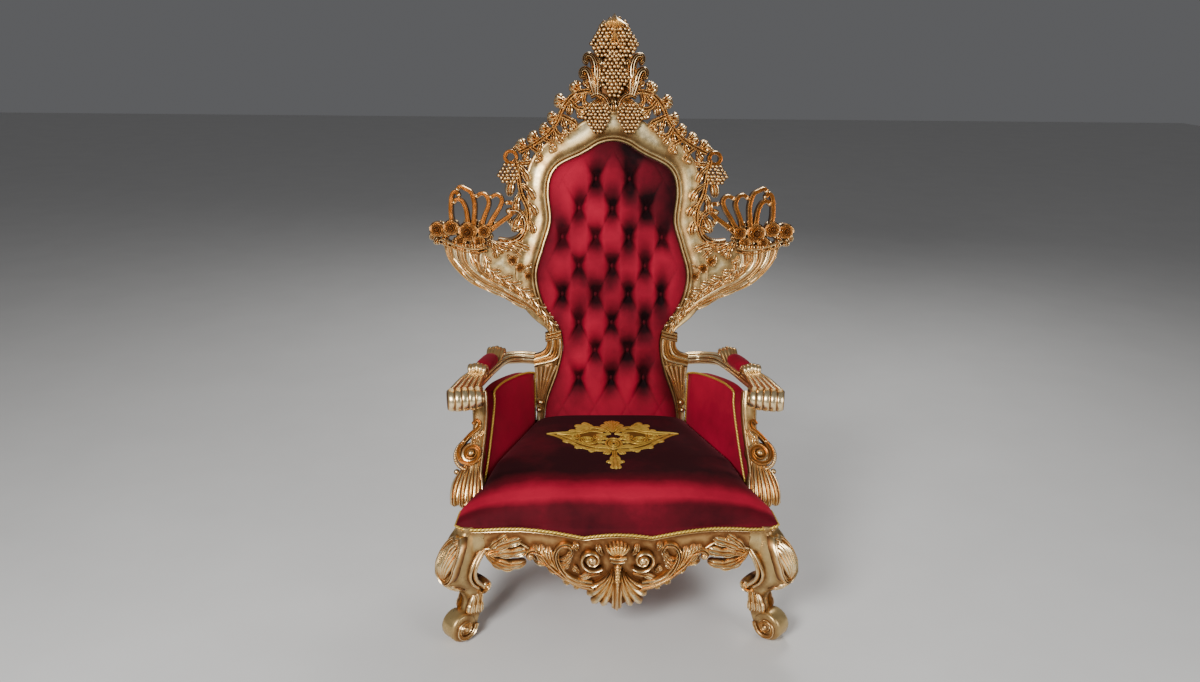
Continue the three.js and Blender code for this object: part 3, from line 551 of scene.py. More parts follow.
def buildWings():
    work = newWork()
    outer, inner = smoothLine(wing["outer"], 50), smoothLine(wing["inner"], 50)
    t = np.linspace(0, 1, 50)[:, None]
    a = turnRound(28)[None, :]
    middle, spread = (outer + inner) / 2, (outer - inner) / 2
    deep = mix(30, 17, t)  # the horn's body, swelling in front and behind
    u = middle[:, :1] + spread[:, :1] * np.cos(a)
    v = middle[:, 1:] + spread[:, 1:] * np.cos(a)
    addSkin(work, onBack(u, v, -18 + deep * np.sin(a)), 0.3, mirror=True)
    for k in range(wing["ribs"]):
        share = (k + 0.5) / wing["ribs"]
        line = inner + (outer - inner) * share
        lane = np.linalg.norm(outer - inner, axis=1) / wing["ribs"] * 0.52
        top = -18 + deep[:, 0] * math.sin(math.pi * mix(0.12, 0.88, share)) + 7
        sweepOn(work, onBack, line[2:], lane[2:], top[2:], top[2:] - 14, channelSection if k % 2 else None)
    rim = smoothLine([(574, 606), (520, 586), (464, 574), (420, 582)], 26)
    sweepOn(work, onBack, rim, 8, 26, -10)
    sweepOn(work, onBack, rim - [0, 14], 4, 22, -10)
    for ribbon in wing["ribbons"]:
        line = smoothLine([(mix(ribbon[0][0], 470, 0.3), 632)] + ribbon, 30)
        wide, top = np.linspace(9.5, 7.5, 30), np.linspace(20, 15, 30)
        sweepOn(work, onBack, line, wide, top, -14, channelSection)
        ballsOn(work, onBack, [(line[-1][0], line[-1][1], 2, 8.5)])
    hook = smoothLine([(346, 702), (318, 700), (298, 678), (294, 644), (312, 612), (348, 596), (384, 598)],
                      40)
    sweepOn(work, onBack, hook, np.linspace(11, 16, 40), 18, -22, flutedSection())
    ballsOn(work, onBack, [(348, 700, 4, 11)])
    leafOn(work, onBack, (300, 640), (352, 690), -0.42, 10, 14, 3, -14)
    for u, v, r in wing["roses"]:
        roseOn(work, onBack, (u, v), r, 16)
        leafOn(work, onBack, (u + 2, v), (u + 8 + r * 0.5, v - 1.5 * r), 0.2, 0.55 * r, 15, 2, -12, 5)
        leafOn(work, onBack, (u - 2, v), (u - 4 - r * 0.9, v - 1.2 * r), -0.2, 0.5 * r, 13, 2, -12, 5)
    for k in range(7):  # leaf tips that hang over the rim
        u = mix(420, 580, k / 6)
        tip = (u - 10 + 3 * k, 566 + 14 * abs(k - 2.5) / 2.5)
        leafOn(work, onBack, (u, 612), tip, 0.06 * (k - 3), 15, 30, 2, -4, 4)
    for u, v, r in wing["blossoms"]:
        roseOn(work, onBack, (u, v), r, 4)
    for k in range(5):  # leaves that stand behind the roses
        tip = (mix(396, 578, k / 4), 676 - 5 * abs(k - 2))
        leafOn(work, onBack, (mix(410, 560, k / 4), 632), tip, 0.1 * (2 - k), 15, 10, 3, -14)
    for k in range(3):  # the three-fingered leaf under the roses
        leafOn(work, onBack, (412, 606), (392 - 24 * k, 540 + 16 * k), 0.14 * (k - 1), 13, 20, 3, -6, 5)
    leafOn(work, onBack, (392, 596), (272, 566), -0.18, 17, 16, 4)
    leafOn(work, onBack, (360, 584), (306, 540), -0.2, 12, 13, 3)
    for k in range(9):  # the laurel on the upper edge of the ribs
        p = inner[3 + 5 * k]
        q = inner[min(49, 10 + 5 * k)]
        leafOn(work, onBack, p, q + [-16, 24], 0.3, 13, 15, 2, lanes=2)
        leafOn(work, onBack, p, q + [14, -14], -0.25, 13, 20, 2, lanes=2)
    for k in range(6):  # long leaves laid over the ribs
        share = 0.42 + 0.4 * (k % 2)
        rib = inner + (outer - inner) * share
        leafOn(work, onBack, rib[1 + 5 * k], rib[13 + 5 * k], 0.06, 15 - k, 21 - 2 * k, 2, -8, 2, 2)
    leafOn(work, onBack, (352, 556), (330, 520), 0.2, 12, 14, 2)  # the sprig that carries the blossoms
    leafOn(work, onBack, (330, 540), (262, 470), 0.1, 9, 10, 3)
    leafOn(work, onBack, (300, 506), (258, 520), -0.2, 10, 12, 2)
    finishWork(work, "wings", gilt)


vine = {
    "stem": [(40, 1074), (84, 1092), (130, 1082), (164, 1044), (184, 998), (214, 956), (262, 920),
             (314, 894)],
    "leaves": [(0.2, 48), (0.35, 50), (0.5, 48), (0.64, 48), (0.78, 50), (0.92, 46)],
    "tendrils": [[(92, 1092), (98, 1060), (78, 1046), (62, 1056)],
                 [(146, 1066), (122, 1040), (98, 1034), (92, 1018), (104, 1010)],
                 [(178, 1016), (150, 1004), (128, 992), (126, 974), (140, 970)],
                 [(198, 980), (182, 954), (160, 950), (158, 964)],
                 [(236, 940), (206, 926), (192, 906), (206, 898)],
                 [(276, 914), (250, 894), (240, 874), (254, 866)]],
    "branch": [(326, 872), (316, 820), (306, 760), (284, 706), (284, 660), (300, 622)],
}


def buildVines():
    work = newWork()
    stem = smoothLine(vine["stem"], 80)
    sweepOn(work, onBack, stem, np.linspace(11, 9, 80), 17, -20, flutedSection(2))
    side = sidesOf(stem)
    run = np.stack([side[:, 1], -side[:, 0]], -1)
    for at, reach in vine["leaves"]:
        i = int(at * 79)
        for turn, far, wide in ((0.6, 1.12, 20), (0.98, 0.85, 16), (0.22, 0.85, 16)):  # three lobes
            tip = stem[i] + reach * far * (side[i] * turn + run[i] * (1.05 - 0.8 * turn))
            leafOn(work, onBack, stem[i] + 4 * run[i], tip, 0.12 * (0.5 - turn), wide, 15, 2, -16, 4)
        tip = stem[i] + reach * (0.7 * run[i] - 0.6 * side[i])
        leafOn(work, onBack, stem[i], tip, -0.25, 15, 15, 2, -16, 4)
    for tendril in vine["tendrils"]:
        line = smoothLine(tendril, 26)
        sweepOn(work, onBack, line, np.linspace(9, 11, 26), 15, -18, flutedSection(2))
        ballsOn(work, onBack, [(line[-1][0], line[-1][1], 5, 9)])
        leafOn(work, onBack, line[10], line[12] + [-16, -28], 0.2, 15, 16, 2, -10, 3)
    ring = spiralLine((340, 878), 19, 19, 0, 1, 25)[:-1]
    sweepOn(work, onBack, ring, 7, 11, -18, channelSection, loop=True)
    leafOn(work, onBack, (340, 900), (306, 924), 0.2, 13, 12, 4, -16)
    leafOn(work, onBack, (334, 866), (262, 866), 0.24, 15, 14, 5, -12)
    branch = smoothLine(vine["branch"], 60)
    sweepOn(work, onBack, branch, np.linspace(9, 12, 60), 15, -20, flutedSection(2))
    side = sidesOf(branch)
    for k in range(8):
        i = 4 + 7 * k
        turn = 1 if k % 2 else -1
        tip = branch[min(59, i + 16)] + (40 if turn > 0 else 30) * turn * side[i]
        leafOn(work, onBack, branch[i], tip, 0.24 * turn, 17, 19, 2, -12, 4)
    bunchOn(work, onBack, 346, grapeOutline(36, 0.12, 0.74, 0.7), 790, 852, 13, -6, 20)
    bunchOn(work, onBack, 158, grapeOutline(17, 0.15, 0.7, 1), 942, 974, 10, 0, 6)
    finishWork(work, "vines", gilt)


crest = {
    "body": [(96, 1000), (62, 1050), (58, 1100), (44, 1150), (46, 1194), (66, 1222), (66, 1256), (44, 1300),
             (0, 1320)],
    "egg": [(0, 54), (0.25, 78), (0.45, 76), (0.7, 58), (0.9, 36), (1, 22)],
    "scrolls": [[(56, 1080), (58, 1130), (60, 1172), (72, 1200), (90, 1204), (94, 1188), (84, 1182)],
                [(62, 1078), (72, 1110), (78, 1138), (90, 1158), (104, 1156), (104, 1140), (94, 1138)]],
}


def eggAt(share):  # half the width of the top bunch
    return float(np.interp(share, *zip(*crest["egg"])))


def buildCrest():
    work = newWork()
    half = smoothLine(crest["body"] + [(-46, 1308)], 60)
    half = half[half[:, 0] > 0]
    plateOn(work, onBack, np.vstack([half, (half * [-1, 1])[::-1]]), 0, -45, 8, 0.12)
    bunchOn(work, onBack, 0, eggAt, 1204, 1318, 13.4, 2, 33, mirror=False)
    bunchOn(work, onBack, 0, grapeOutline(38, 0.2, 0.6, 0.8), 1146, 1212, 13.4, 4, 33, mirror=False)
    bunchOn(work, onBack, 0, grapeOutline(52, 0.06, 0.7, 0.9), 1074, 1168, 13.4, 2, 37, mirror=False)
    bunchOn(work, onBack, 53, grapeOutline(40, 0.05, 0.75, 0.7), 958, 1048, 12.6, 0, 29)
    for k in range(4):  # the fluted cap and its three-fingered leaf
        tip = (9 + 14 * k, 1276 + 7 * k)
        leafOn(work, onBack, (1, 1332), tip, -0.1 - 0.06 * k, 12, 56 - 6 * k, 1, -20, 4, 1)
    leafOn(work, onBack, (0, 1296), (21, 1232), -0.2, 9, 60, 1, lanes=1)
    leafOn(work, onBack, (0, 1332), (0, 1222), 0, 9, 64, 1, lanes=1, mirror=False)
    for points in crest["scrolls"]:
        scroll = smoothLine(points, 44)  # the side scrolls, each with a fluted leaf laid on its back
        wide = np.concatenate([np.linspace(13, 18, 20), np.linspace(18, 8, 24)])
        sweepOn(work, onBack, scroll, wide, 26, -20, flutedSection(4))
        leafOn(work, onBack, scroll[4], scroll[25] + [-16, 4], 0.1, 19, 30, 3, -10, 4)
        leafOn(work, onBack, scroll[8], scroll[20] + [18, -4], -0.24, 15, 22, 2, -14, 4)
    leafOn(work, onBack, (50, 1090), (52, 1206), 0.06, 16, 20, 4, -14, 4)
    leafOn(work, onBack, (62, 1084), (30, 1128), -0.2, 11, 26, 2)
    leafOn(work, onBack, (58, 1150), (34, 1200), -0.2, 9, 22, 2)
    for k in range(4):  # leaves over the hanging bunches
        tip = (16 + 22 * k, 1030 - 5 * k * (3 - k))
        leafOn(work, onBack, (46, 1066), tip, 0.16 * (k - 1.5), 10, 26, 2, -6, 4)
    scroll = smoothLine([(16, 1050), (30, 1072), (54, 1084), (76, 1076)], 24)
    sweepOn(work, onBack, scroll, 10, 22, -6, flutedSection())
    leafOn(work, onBack, (0, 1074), (0, 1024), 0, 13, 26, 2, mirror=False)
    finishWork(work, "crest", gilt)


stile = {"collar": [(290, 13), (279, 16), (268, 13)], "flutes": 5}


def buildStiles():
    work = newWork()
    for v, top in stile["collar"]:
        sweepOn(work, onBack, smoothLine([(172, v + 6), (198, v - 1), (226, v - 7)], 14), 6, top + 4, -8)
    for k in range(4):  # ribs of the neck that sweep out to the arm
        share = k / 3
        points = [(mix(178, 214, share), 268), (mix(176, 216, share), 240),
                  (mix(190, 232, share), mix(198, 218, share)), (264, mix(176, 206, share))]
        sweepOn(work, onBack, smoothLine(points, 30), 7.5, 15, -8, channelSection if k % 2 else None)
    for k in range(stile["flutes"]):
        share = k / (stile["flutes"] - 1)
        top, foot = (mix(188, 258, share), mix(176, 170, share)), (mix(236, 252, share), 58)
        line = swingLine(top, foot, 0.03 * (1 - 2 * share), np.linspace(0, 1, 24)[:, None])
        sweepOn(work, onBack, line, np.linspace(8, 2.6, 24), np.linspace(15, 7, 24), -6)
    ballsOn(work, onBack, [(244, 44, 3, 12), (249, 17, 3, 10.5)])
    finishWork(work, "stileCarving", gilt)


pad = {
    "across": 112, "up": 97, "first": 130, "rows": 8, "margin": 44,
    "crown": 29, "pit": 38, "foot": -44, "step": 4.2, "columns": 121,
}


def buttonPlaces():
    places = []
    for row in range(pad["rows"]):
        v = pad["first"] + row * pad["up"]
        count = 6 if row % 2 else 5
        spots = [(i - (count - 1) / 2) * pad["across"] for i in range(count)]
        room = openingWidth(v) - pad["margin"]
        places += [(u, v) for u in spots if abs(u) < room]
    return places


buttons = buttonPlaces()


def padHeight(u, v):  # crowned cloth drawn into a pit at each button, with pleats between the buttons
    half = np.maximum(openingWidth(v), 1)
    sides = np.sqrt(np.clip(1 - np.clip(np.abs(u) / half, 0, 1) ** 6, 0, 1))
    edge = sides * np.sqrt(np.clip((936 - v) / 60, 0, 1))
    p = (v - pad["first"]) / (2 * pad["up"]) + u / pad["across"]
    q = (v - pad["first"]) / (2 * pad["up"]) - u / pad["across"]
    pleat = np.minimum(np.abs(p - np.round(p)), np.abs(q - np.round(q)))
    drop, dark = np.zeros_like(u), np.zeros_like(u)
    near = np.full_like(u, 1e9)
    for k, (a, b) in enumerate(buttons):
        r = np.hypot(u - a, (v - b) / 1.35)
        angle = np.arctan2(v - b, u - a)
        ways = np.radians([66 + 5 * (k % 3), 112 - 4 * (k % 4), 248 + 6 * (k % 2), 292 - 5 * (k % 3)])
        folds = sum(np.clip(np.cos(angle - way), 0, 1) ** 12 for way in ways)
        drop = np.maximum(drop, np.exp(-(r / (15 + (13 + 3 * (k % 3)) * folds)) ** 1.4))
        # a star of painted shade round each button, long along its creases
        star = np.hypot(u - a, (v - b) / 1.6) / (7 + 2 * (k % 3) + 17 * folds)
        dark = np.maximum(dark, np.exp(-star ** 1.3))
        near = np.minimum(near, np.hypot(u - a, v - b))
    slack = 0.75 + 0.45 * np.sin(7.3 * np.floor(p) + 3.1 * np.floor(q)) * np.sin(u / 61 + v / 83)
    pull = 0.3 + 0.7 * np.exp(-near / 45)
    crease = np.exp(-(pleat / 0.035) ** 1.1) * pull * ease(near, 4, 20) * slack
    inside = ease(half - np.abs(u), 6, 50) * ease(930 - v, 8, 60)
    height = mix(2.0, pad["crown"], edge) - pad["pit"] * drop - 8 * crease * inside
    brushed = 0.5 * np.sin(u / 64 + v / 88 + 0.6) + 0.3 * np.sin(u / 39 - v / 52 + 2.1)
    brushed = brushed + 0.2 * np.sin(v / 30 + u / 75 + 4)
    dim = ease(u + 0.35 * (v - 760), -30, 190) * ease(v, 540, 800)  # dark at the upper right
    # painted shade round the rim, where the cloth meets the frame
    rim = 1 - ease(half - np.abs(u), 0, 70) * ease(931 - v, 0, 120)
    # painted shade in the pits, in their stars of creases and along the pleats
    shade = 0.74 + 0.18 * brushed - 0.4 * dim - 0.42 * drop - 0.8 * dark
    shade = shade - 0.35 * crease * inside - 0.3 * rim
    return height, np.clip(shade, 0, 1)


def buildPad():
    work = newWork()
    vs = np.append(np.arange(pad["foot"], 928, pad["step"]), [929, 930.6])
    half = openingWidth(vs) - 0.4
    u = np.linspace(-1, 1, pad["columns"])[None, :] * half[:, None]
    v = np.broadcast_to(vs[:, None], u.shape)
    height, shade = padHeight(u, v)
    rear = np.array([1, 0.98, -0.98, -1])[None, :] * half[:, None]
    rings = onBack(np.hstack([u, rear]), np.hstack([v, np.broadcast_to(vs[:, None], rear.shape)]),
                   np.hstack([height, np.broadcast_to([-30, -40, -40, -30], rear.shape)]))
    addSkin(work, rings, np.hstack([shade, np.full(rear.shape, 0.6)]))
    piece = finishWork(work, "backPanel", velvet, ["back_pad"])
    knobs = newWork()
    p = grape[0]
    for a, b in buttons:
        floor = float(padHeight(np.array([a]), np.array([b]))[0][0])
        knob = onBack(a + 9.5 * p[:, 0], b + 9.5 * p[:, 1], floor + 2 + 6 * p[:, 2])
        # the buttons are painted dark as shade in the pits, with a painted highlight on their outward face
        addCopy(knobs, grape, knob, 0.06 + 0.16 * p[:, 2])
    nodes = [f"back_button_{i + 1:02d}" for i in range(len(buttons))]
    finishWork(knobs, "backButtons", velvet, nodes)


buildBackFrame()
buildWings()
buildVines()
buildCrest()
buildStiles()
buildPad()
print("back built")


# arms

arm = {
    "line": [(262, 250, 650), (318, 244, 655), (372, 186, 668), (404, 60, 682), (430, -80, 692),
             (452, -178, 694)],
    "curl": [(-26, 8), (-12, 26), (2, 44), (16, 50), (26, 42), (24, 32)],
    "across": 25, "up": 21, "reeds": 10, "pad": (0.44, 0.72),
    "roll": {"centre": (456, -190, 677), "turn": 12, "radius": 38, "length": 104, "reeds": 5},
}
post = {
    "line": [(424, -84, 662), (420, -104, 618), (418, -150, 556), (428, -206, 488), (436, -262, 420),
             (438, -290, 373)],
    "half": [24, 23, 21, 22, 25, 30], "deep": 20,
}


def lineFrame(line, flat=(0, 0, 1)):  # run, side and rise along a line in space
    run = np.gradient(line, axis=0)
    run /= np.linalg.norm(run, axis=1, keepdims=True)
    side = np.cross(run, flat)
    side /= np.linalg.norm(side, axis=1, keepdims=True)
    return run, side, np.cross(side, run)


def sweepBar(work, line, across, up, section, relief=0.5, flat=(0, 0, 1), mirror=True):
    side, rise = lineFrame(line, flat)[1:]
    sideways = side[:, None, :] * section[..., :1] * np.broadcast_to(across, len(line))[:, None, None]
    upwards = rise[:, None, :] * section[..., 1:] * np.broadcast_to(up, len(line))[:, None, None]
    addSkin(work, settle(line[:, None, :] + sideways + upwards), relief, mirror=mirror)


def reedSection(reeds, steps=6, depth=0.12):
    a = turnRound(reeds * steps)
    swell = np.abs(np.cos(reeds * a / 2)) ** 0.8
    r = 1 - depth * (1 - swell)
    return np.stack([r * np.cos(a), r * np.sin(a)], -1), 0.12 + 0.88 * swell


def ropeBar(work, line, radius, pitch=13, flat=(0, 0, 1), mirror=True):  # two strands twisted together
    length = np.sum(np.linalg.norm(np.diff(line, axis=0), axis=1))
    count = int(length / pitch * 7)
    line = evenLine(line, count)
    s = np.linspace(0, length / pitch, count)[:, None]
    a = turnRound(10)[None, :]
    swell = np.abs(np.cos(a - math.pi * s))
    r = radius * (0.78 + 0.3 * swell)
    section = np.stack([r * np.cos(a), r * np.sin(a)], -1)
    sweepBar(work, line, 1, 1, section, 0.15 + 0.8 * swell, flat, mirror)


def onPost(u, v, w):  # u across, v down the post, w out of its front
    line = smoothLine(post["line"], 60)
    along = runLength(line)
    run = np.gradient(line, axis=0)
    out = np.stack([0 * run[:, 0], run[:, 2], -run[:, 1]], -1)
    out /= np.linalg.norm(out, axis=1, keepdims=True)
    u, v, w = np.broadcast_arrays(u, v, w)
    over = np.maximum(v - along[-1], 0)[..., None] * (run[-1] / np.linalg.norm(run[-1]))
    spot = np.stack([np.interp(v, along, line[:, k]) for k in range(3)], -1)
    face = np.stack([np.interp(v, along, out[:, k]) for k in range(3)], -1)
    return settle(spot + over + u[..., None] * [1, 0, 0] + w[..., None] * face)


def buildArms():
    work = newWork()
    line = smoothLine(arm["line"], 70)
    t = np.linspace(0, 1, 70)
    section, shade = reedSection(arm["reeds"])
    sweepBar(work, line, arm["across"] + 5 * np.sin(math.pi * t), arm["up"], section, shade)
    roll = arm["roll"]
    a = turnRound(40)[None, :]
    h = np.linspace(-1, 1, 41)[:, None]
    swell = np.abs(np.sin(math.pi * roll["reeds"] * (h + 1) / 2)) ** 0.5
    girth = roll["radius"] * (1 - 0.22 * np.abs(h) ** 2.6) * (0.92 + 0.08 * swell) * (0.98 + 0.06 * h)
    turn = math.radians(roll["turn"])
    axis = np.array([math.cos(turn), -math.sin(turn), 0])
    ahead = np.array([-math.sin(turn), -math.cos(turn), 0])
    up = np.array([0, 0, 1])
    centre = np.array(roll["centre"])
    forward = (girth * np.cos(a))[..., None] * ahead
    upward = (girth * np.sin(a))[..., None] * up
    rings = centre + (h * roll["length"] / 2)[..., None] * axis + forward + upward
    addSkin(work, settle(rings), 0.2 + 0.75 * swell + 0 * a, mirror=True)

    def onEnd(u, v, w):  # the roll's inner end
        u, v, w = np.broadcast_arrays(u, v, w)
        spot = centre - (roll["length"] / 2 - 2) * axis
        return settle(spot + u[..., None] * ahead + v[..., None] * up - w[..., None] * axis)

    sweepOn(work, onEnd, spiralLine((0, 0), 30, 6, 2.2, 1.8, 60), np.linspace(6, 4, 60), 9, -12)
    ballsOn(work, onEnd, [(0, 0, 2, 9)])
    crown = roll["radius"] * (0.3 * ahead + 0.9 * up)
    shine = 0.3 + 0.6 * np.sin(turnRound(10)) ** 2
    for k in range(roll["reeds"]):  # reeds that run from the roll's top back onto the arm
        lane = (k + 0.5) / roll["reeds"] - 0.5
        start = centre + lane * roll["length"] * 0.92 * axis + crown
        finish = line[50] + np.array([lane * 44, 0, 20])
        reed = smoothLine([start, (start + finish) / 2 + [0, 6, 5], finish], 16)
        sweepBar(work, reed, 10, 9, reedSection(1, 10)[0], shine)
    run, side, rise = lineFrame(line)
    tube = reedSection(1, 12, 0)[0]
    shine = mix(0.3, 0.8, np.linspace(0, 1, 24) ** 0.6)[:, None]
    for at, lean in ((0.4, -1), (0.76, 1)):  # curled leaves behind and before the pad
        i = int(at * 69)
        for k in range(-2, 3):
            points = []
            for far, tall in arm["curl"]:
                spot = line[i] + lean * far * run[i] + (tall - 3 * abs(k)) * rise[i]
                points.append(spot + k * (7 + 0.1 * tall) * side[i])
            finger = smoothLine(points, 24)
            sweepBar(work, finger, np.linspace(9, 6.5, 24), np.linspace(9, 7, 24), tube, shine, side[i])
    finishWork(work, "arms", gilt, ["arm_left", "arm_right"])

    cushion = newWork()
    low, high = (int(at * 69) for at in arm["pad"])
    span = evenLine(line[low:high + 1], 30)
    s = np.linspace(-1, 1, 30)
    a = turnRound(24)
    swell = np.sqrt(np.clip(1.03 - s ** 4, 0.03, 1))
    section = np.stack([np.cos(a), np.sin(a)], -1)
    sweepBar(cushion, span + [0, 0, 26], 26 * swell, 22 * swell, section, 0.6)
    piece = finishWork(cushion, "armPads", velvet, ["arm_pad_left", "arm_pad_right"])


def buildPosts():
    work = newWork()
    line = smoothLine(post["line"], 60)
    half = np.interp(np.linspace(0, 1, 60), np.linspace(0, 1, 6), post["half"])
    a = turnRound(24)
    section = np.stack([softPower(np.cos(a), 0.6), softPower(np.sin(a), 0.6)], -1)
    side = lineFrame(line, (1, 0, 0))[1]
    deep = side[:, None, :] * (section[:, 1:] * post["deep"])
    wide = np.array([1, 0, 0]) * section[:, :1] * half[:, None, None]
    addSkin(work, settle(line[:, None, :] + deep + wide), 0.72, mirror=True)
    nodes = ["arm_support_left", "arm_support_right"]
    finishWork(work, "armPosts", cream, nodes)


def buildPostCarving():
    work = newWork()
    edge = smoothLine([(-22, 4), (-21, 70), (-19, 130), (-22, 215), (-27, 330)], 50)
    sweepOn(work, onPost, edge, 5, 24, 8)
    sweepOn(work, onPost, edge * [-0.9, 1], 4, 22, 8)
    lead = smoothLine([(20, 112), (10, 100), (0, 108), (4, 126), (22, 142), (43, 172)], 30)
    u, v = 12, 206  # the eye of the volute
    scroll = np.vstack([lead[:-1], spiralLine((u, v), 44, 8, -0.85, 1.9, 90)])
    wide, top = np.linspace(6, 8.5, len(scroll)), np.linspace(30, 40, len(scroll))
    sweepOn(work, onPost, scroll, wide, top, 6, channelSection)
    ballsOn(work, onPost, [(u, v, 30, 12)])
    turns = np.linspace(-0.9, 1.3, 16)
    ballsOn(work, onPost, [(u + 48 * math.cos(turn), v + 50 * math.sin(turn), 22, 6) for turn in turns])
    sweepOn(work, onPost, spiralLine((u, v), 21, 21, 0, 1, 31)[:-1], 21, 24, 2, loop=True)
    for k in range(3):
        leafOn(work, onPost, (-4 + 9 * k, 172), (-16 + 6 * k, 124 + 14 * k), 0.2, 9, 28, 2, 12)
    for k in range(4):  # the fluted leaf at the foot
        share = k / 3
        tip = (mix(-28, 46, share), mix(374, 362, share))
        leafOn(work, onPost, (mix(-12, 20, share), 232), tip, mix(0.06, -0.14, share), 17, 32, 1, 2, 8)
    ballsOn(work, onPost, [(50, 258, 6, 9)])
    finishWork(work, "postCarving", gilt)


# seat, side panels and braid

seat = {"frontHalf": 455, "frontY": -405, "taper": 0.335, "backY": 171, "rise": 112, "bow": 26}


def bow(x):
    return seat["bow"] * np.maximum(0, 1 - (x / 385) ** 2) ** 1.2


def seatHalf(y):
    return seat["frontHalf"] - seat["taper"] * (y - seat["frontY"])


def seatEdge(y):  # the cover's edge, wide enough for the tops of the front legs
    return seatHalf(y) - 2 + np.interp(-y, [268, 285, 318, 336, 366, 420], [0, 6, 26, 31, 23, 8])


def braidDrop(x):  # how far the cover hangs over the front rail
    x = np.abs(x)
    return np.interp(x, [0, 40, 70, 98, 130, 182, 230, 280, 330, 386, 420, 446, 466],
                     [9, 11, 15, 20, 14, 5, 0, -2, 1, 7, 7, 4, -4])


def seatSurface(s, t):
    boxy = ease(t, 0.08, 0.3)  # the front corners slope, and the sides between the arms stand up
    sides = np.clip(1 - np.abs(s) ** mix(2.6, 5, boxy), 0, 1) ** mix(0.7, 0.45, boxy)
    front = np.clip(1 - (1 - np.clip(t / 0.24, 0, 1)) ** 2.2, 0, 1) ** 0.5
    tucked = mix(0.07, 0.62, np.clip((t - 0.15) / 0.3, 0, 1))
    height = seat["rise"] * mix(1, 0.86, t) * mix(tucked, 1, sides * front)
    y = mix(seat["frontY"] - bow(seat["frontHalf"] * s) - 6, seat["backY"], t)
    return np.stack([s * seatEdge(y), y, chair["railTop"] + 0.3 + height], -1)


def onSeat(x, y, w):  # the top of the cushion
    x, y, w = np.broadcast_arrays(x, y, w)
    s = x / (seatHalf(y) - 2)
    t = (y - seat["frontY"] + bow(x) + 6) / (seat["backY"] - seat["frontY"] + bow(x) + 6)
    spot = seatSurface(s, t)
    return settle(np.stack([x, y, spot[..., 2] + w], -1))


def buildSeat():
    work = newWork()
    t = np.concatenate([[0, 0.002, 0.006], np.linspace(0.012, 0.24, 26), np.linspace(0.25, 1, 50)])
    t = t[:, None]
    s = softPower(np.sin(np.linspace(-1, 1, 101) * math.pi / 2)[None, :], 0.8)
    top = seatSurface(*np.broadcast_arrays(s, t))
    low = top[:, ::-1].copy()
    low[..., 2] = chair["railTop"] + 0.3
    # painted light on the cover: a painted highlight along the front roll, painted shade on the lower front
    # and across the top, with a small ripple of tone
    paintedLight = np.interp(t, [0, 0.04, 0.075, 0.115, 0.18, 0.26, 1], [0.2, 0.28, 0.82, 0.8, 0.3, 0.02, -0.02])
    shade = paintedLight + 0.07 * np.sin(3 * s + 6 * t) * np.cos(5 * s - 3 * t)
    rings = np.concatenate([top, low[:, [0, 50, 100]]], 1)
    first = rings[0]
    hem = []  # the cover's edge hangs over the rail
    for shift, share in ((4, 1.0), (-5, 1.0), (-6, 0.6), (-3.5, 0.25)):
        row = first.copy()
        row[:-3, 1] += shift
        row[:-3, 2] = mix(first[:-3, 2], chair["railTop"] - braidDrop(first[:-3, 0]), share)
        hem.append(row)
    rings = np.concatenate([np.stack(hem), rings])
    # the hanging hem is painted dark as shade
    shade = np.vstack([np.full((4, shade.shape[1]), 0.24), shade])
    addSkin(work, settle(rings), np.hstack([shade, np.full((len(rings), 3), 0.5)]))
    piece = finishWork(work, "seatCushion", velvet, ["seat_cushion"])


def panelPlace(a, b, out):
    line, armTop = smoothLine(post["line"], 60), smoothLine(arm["line"], 60)
    g = np.linspace(0, 1, 60)
    y = mix(np.interp(1 - b, g, line[:, 1]) + 28, 204, a)
    foot = np.maximum(seatHalf(y) + 1.5, 266)
    armZ = np.interp(mix(0.8, 0.1, a), g, armTop[:, 2])
    top = armZ - 45 + 14 * (1 - (2 * a - 1) ** 4)
    return np.stack([foot + 42 * b ** 1.3 * (1 - a ** 2) + out, y, mix(372.3, top, b)], -1)


def buildPanels():
    work = newWork()
    a = np.linspace(0, 1, 40)[:, None]
    b = np.linspace(0, 1, 30)[None, :]
    puff = -9 * (np.sin(math.pi * a) ** 0.4) * (np.sin(math.pi * (0.08 + 0.92 * b)) ** 0.4)
    inner = panelPlace(*np.broadcast_arrays(a, b, puff))
    outer = panelPlace(*np.broadcast_arrays(a, b[:, ::-1], 32 - 0 * puff))
    # painted shade towards the front and back ends of each panel
    shade = 0.78 - 0.3 * (1 - np.sin(math.pi * a) ** 0.3 * np.ones_like(b))
    rings = settle(np.concatenate([inner, outer], 1))
    addSkin(work, rings, np.hstack([shade, np.full(shade.shape, 0.6)]), mirror=True)
    piece = finishWork(work, "armPanels", velvet, ["arm_panel_left", "arm_panel_right"])


def buildBraid():
    work = newWork()
    x = np.linspace(-465, 465, 200)
    front = np.stack([x, seat["frontY"] - bow(x) - 14, chair["railTop"] - braidDrop(x) - 1], -1)
    ropeBar(work, front, 4.2, 11, mirror=False)
    y = np.linspace(-417, 165, 120)
    ropeBar(work, np.stack([seatEdge(y) + 2, y, np.full(120, chair["railTop"] + 4.0)], -1), 3.6, 10)
    g = np.linspace(0, 1, 40)
    sides = ((0 * g, g), (g, 0 * g + 1), (0 * g + 1, 1 - g))
    edge = np.vstack([panelPlace(a, b, 0 * g - 3) for a, b in sides])
    ropeBar(work, smoothLine(edge[::5], 120), 3.4, 10, flat=(1, 0, 0))
    finishWork(work, "goldBraid", thread)


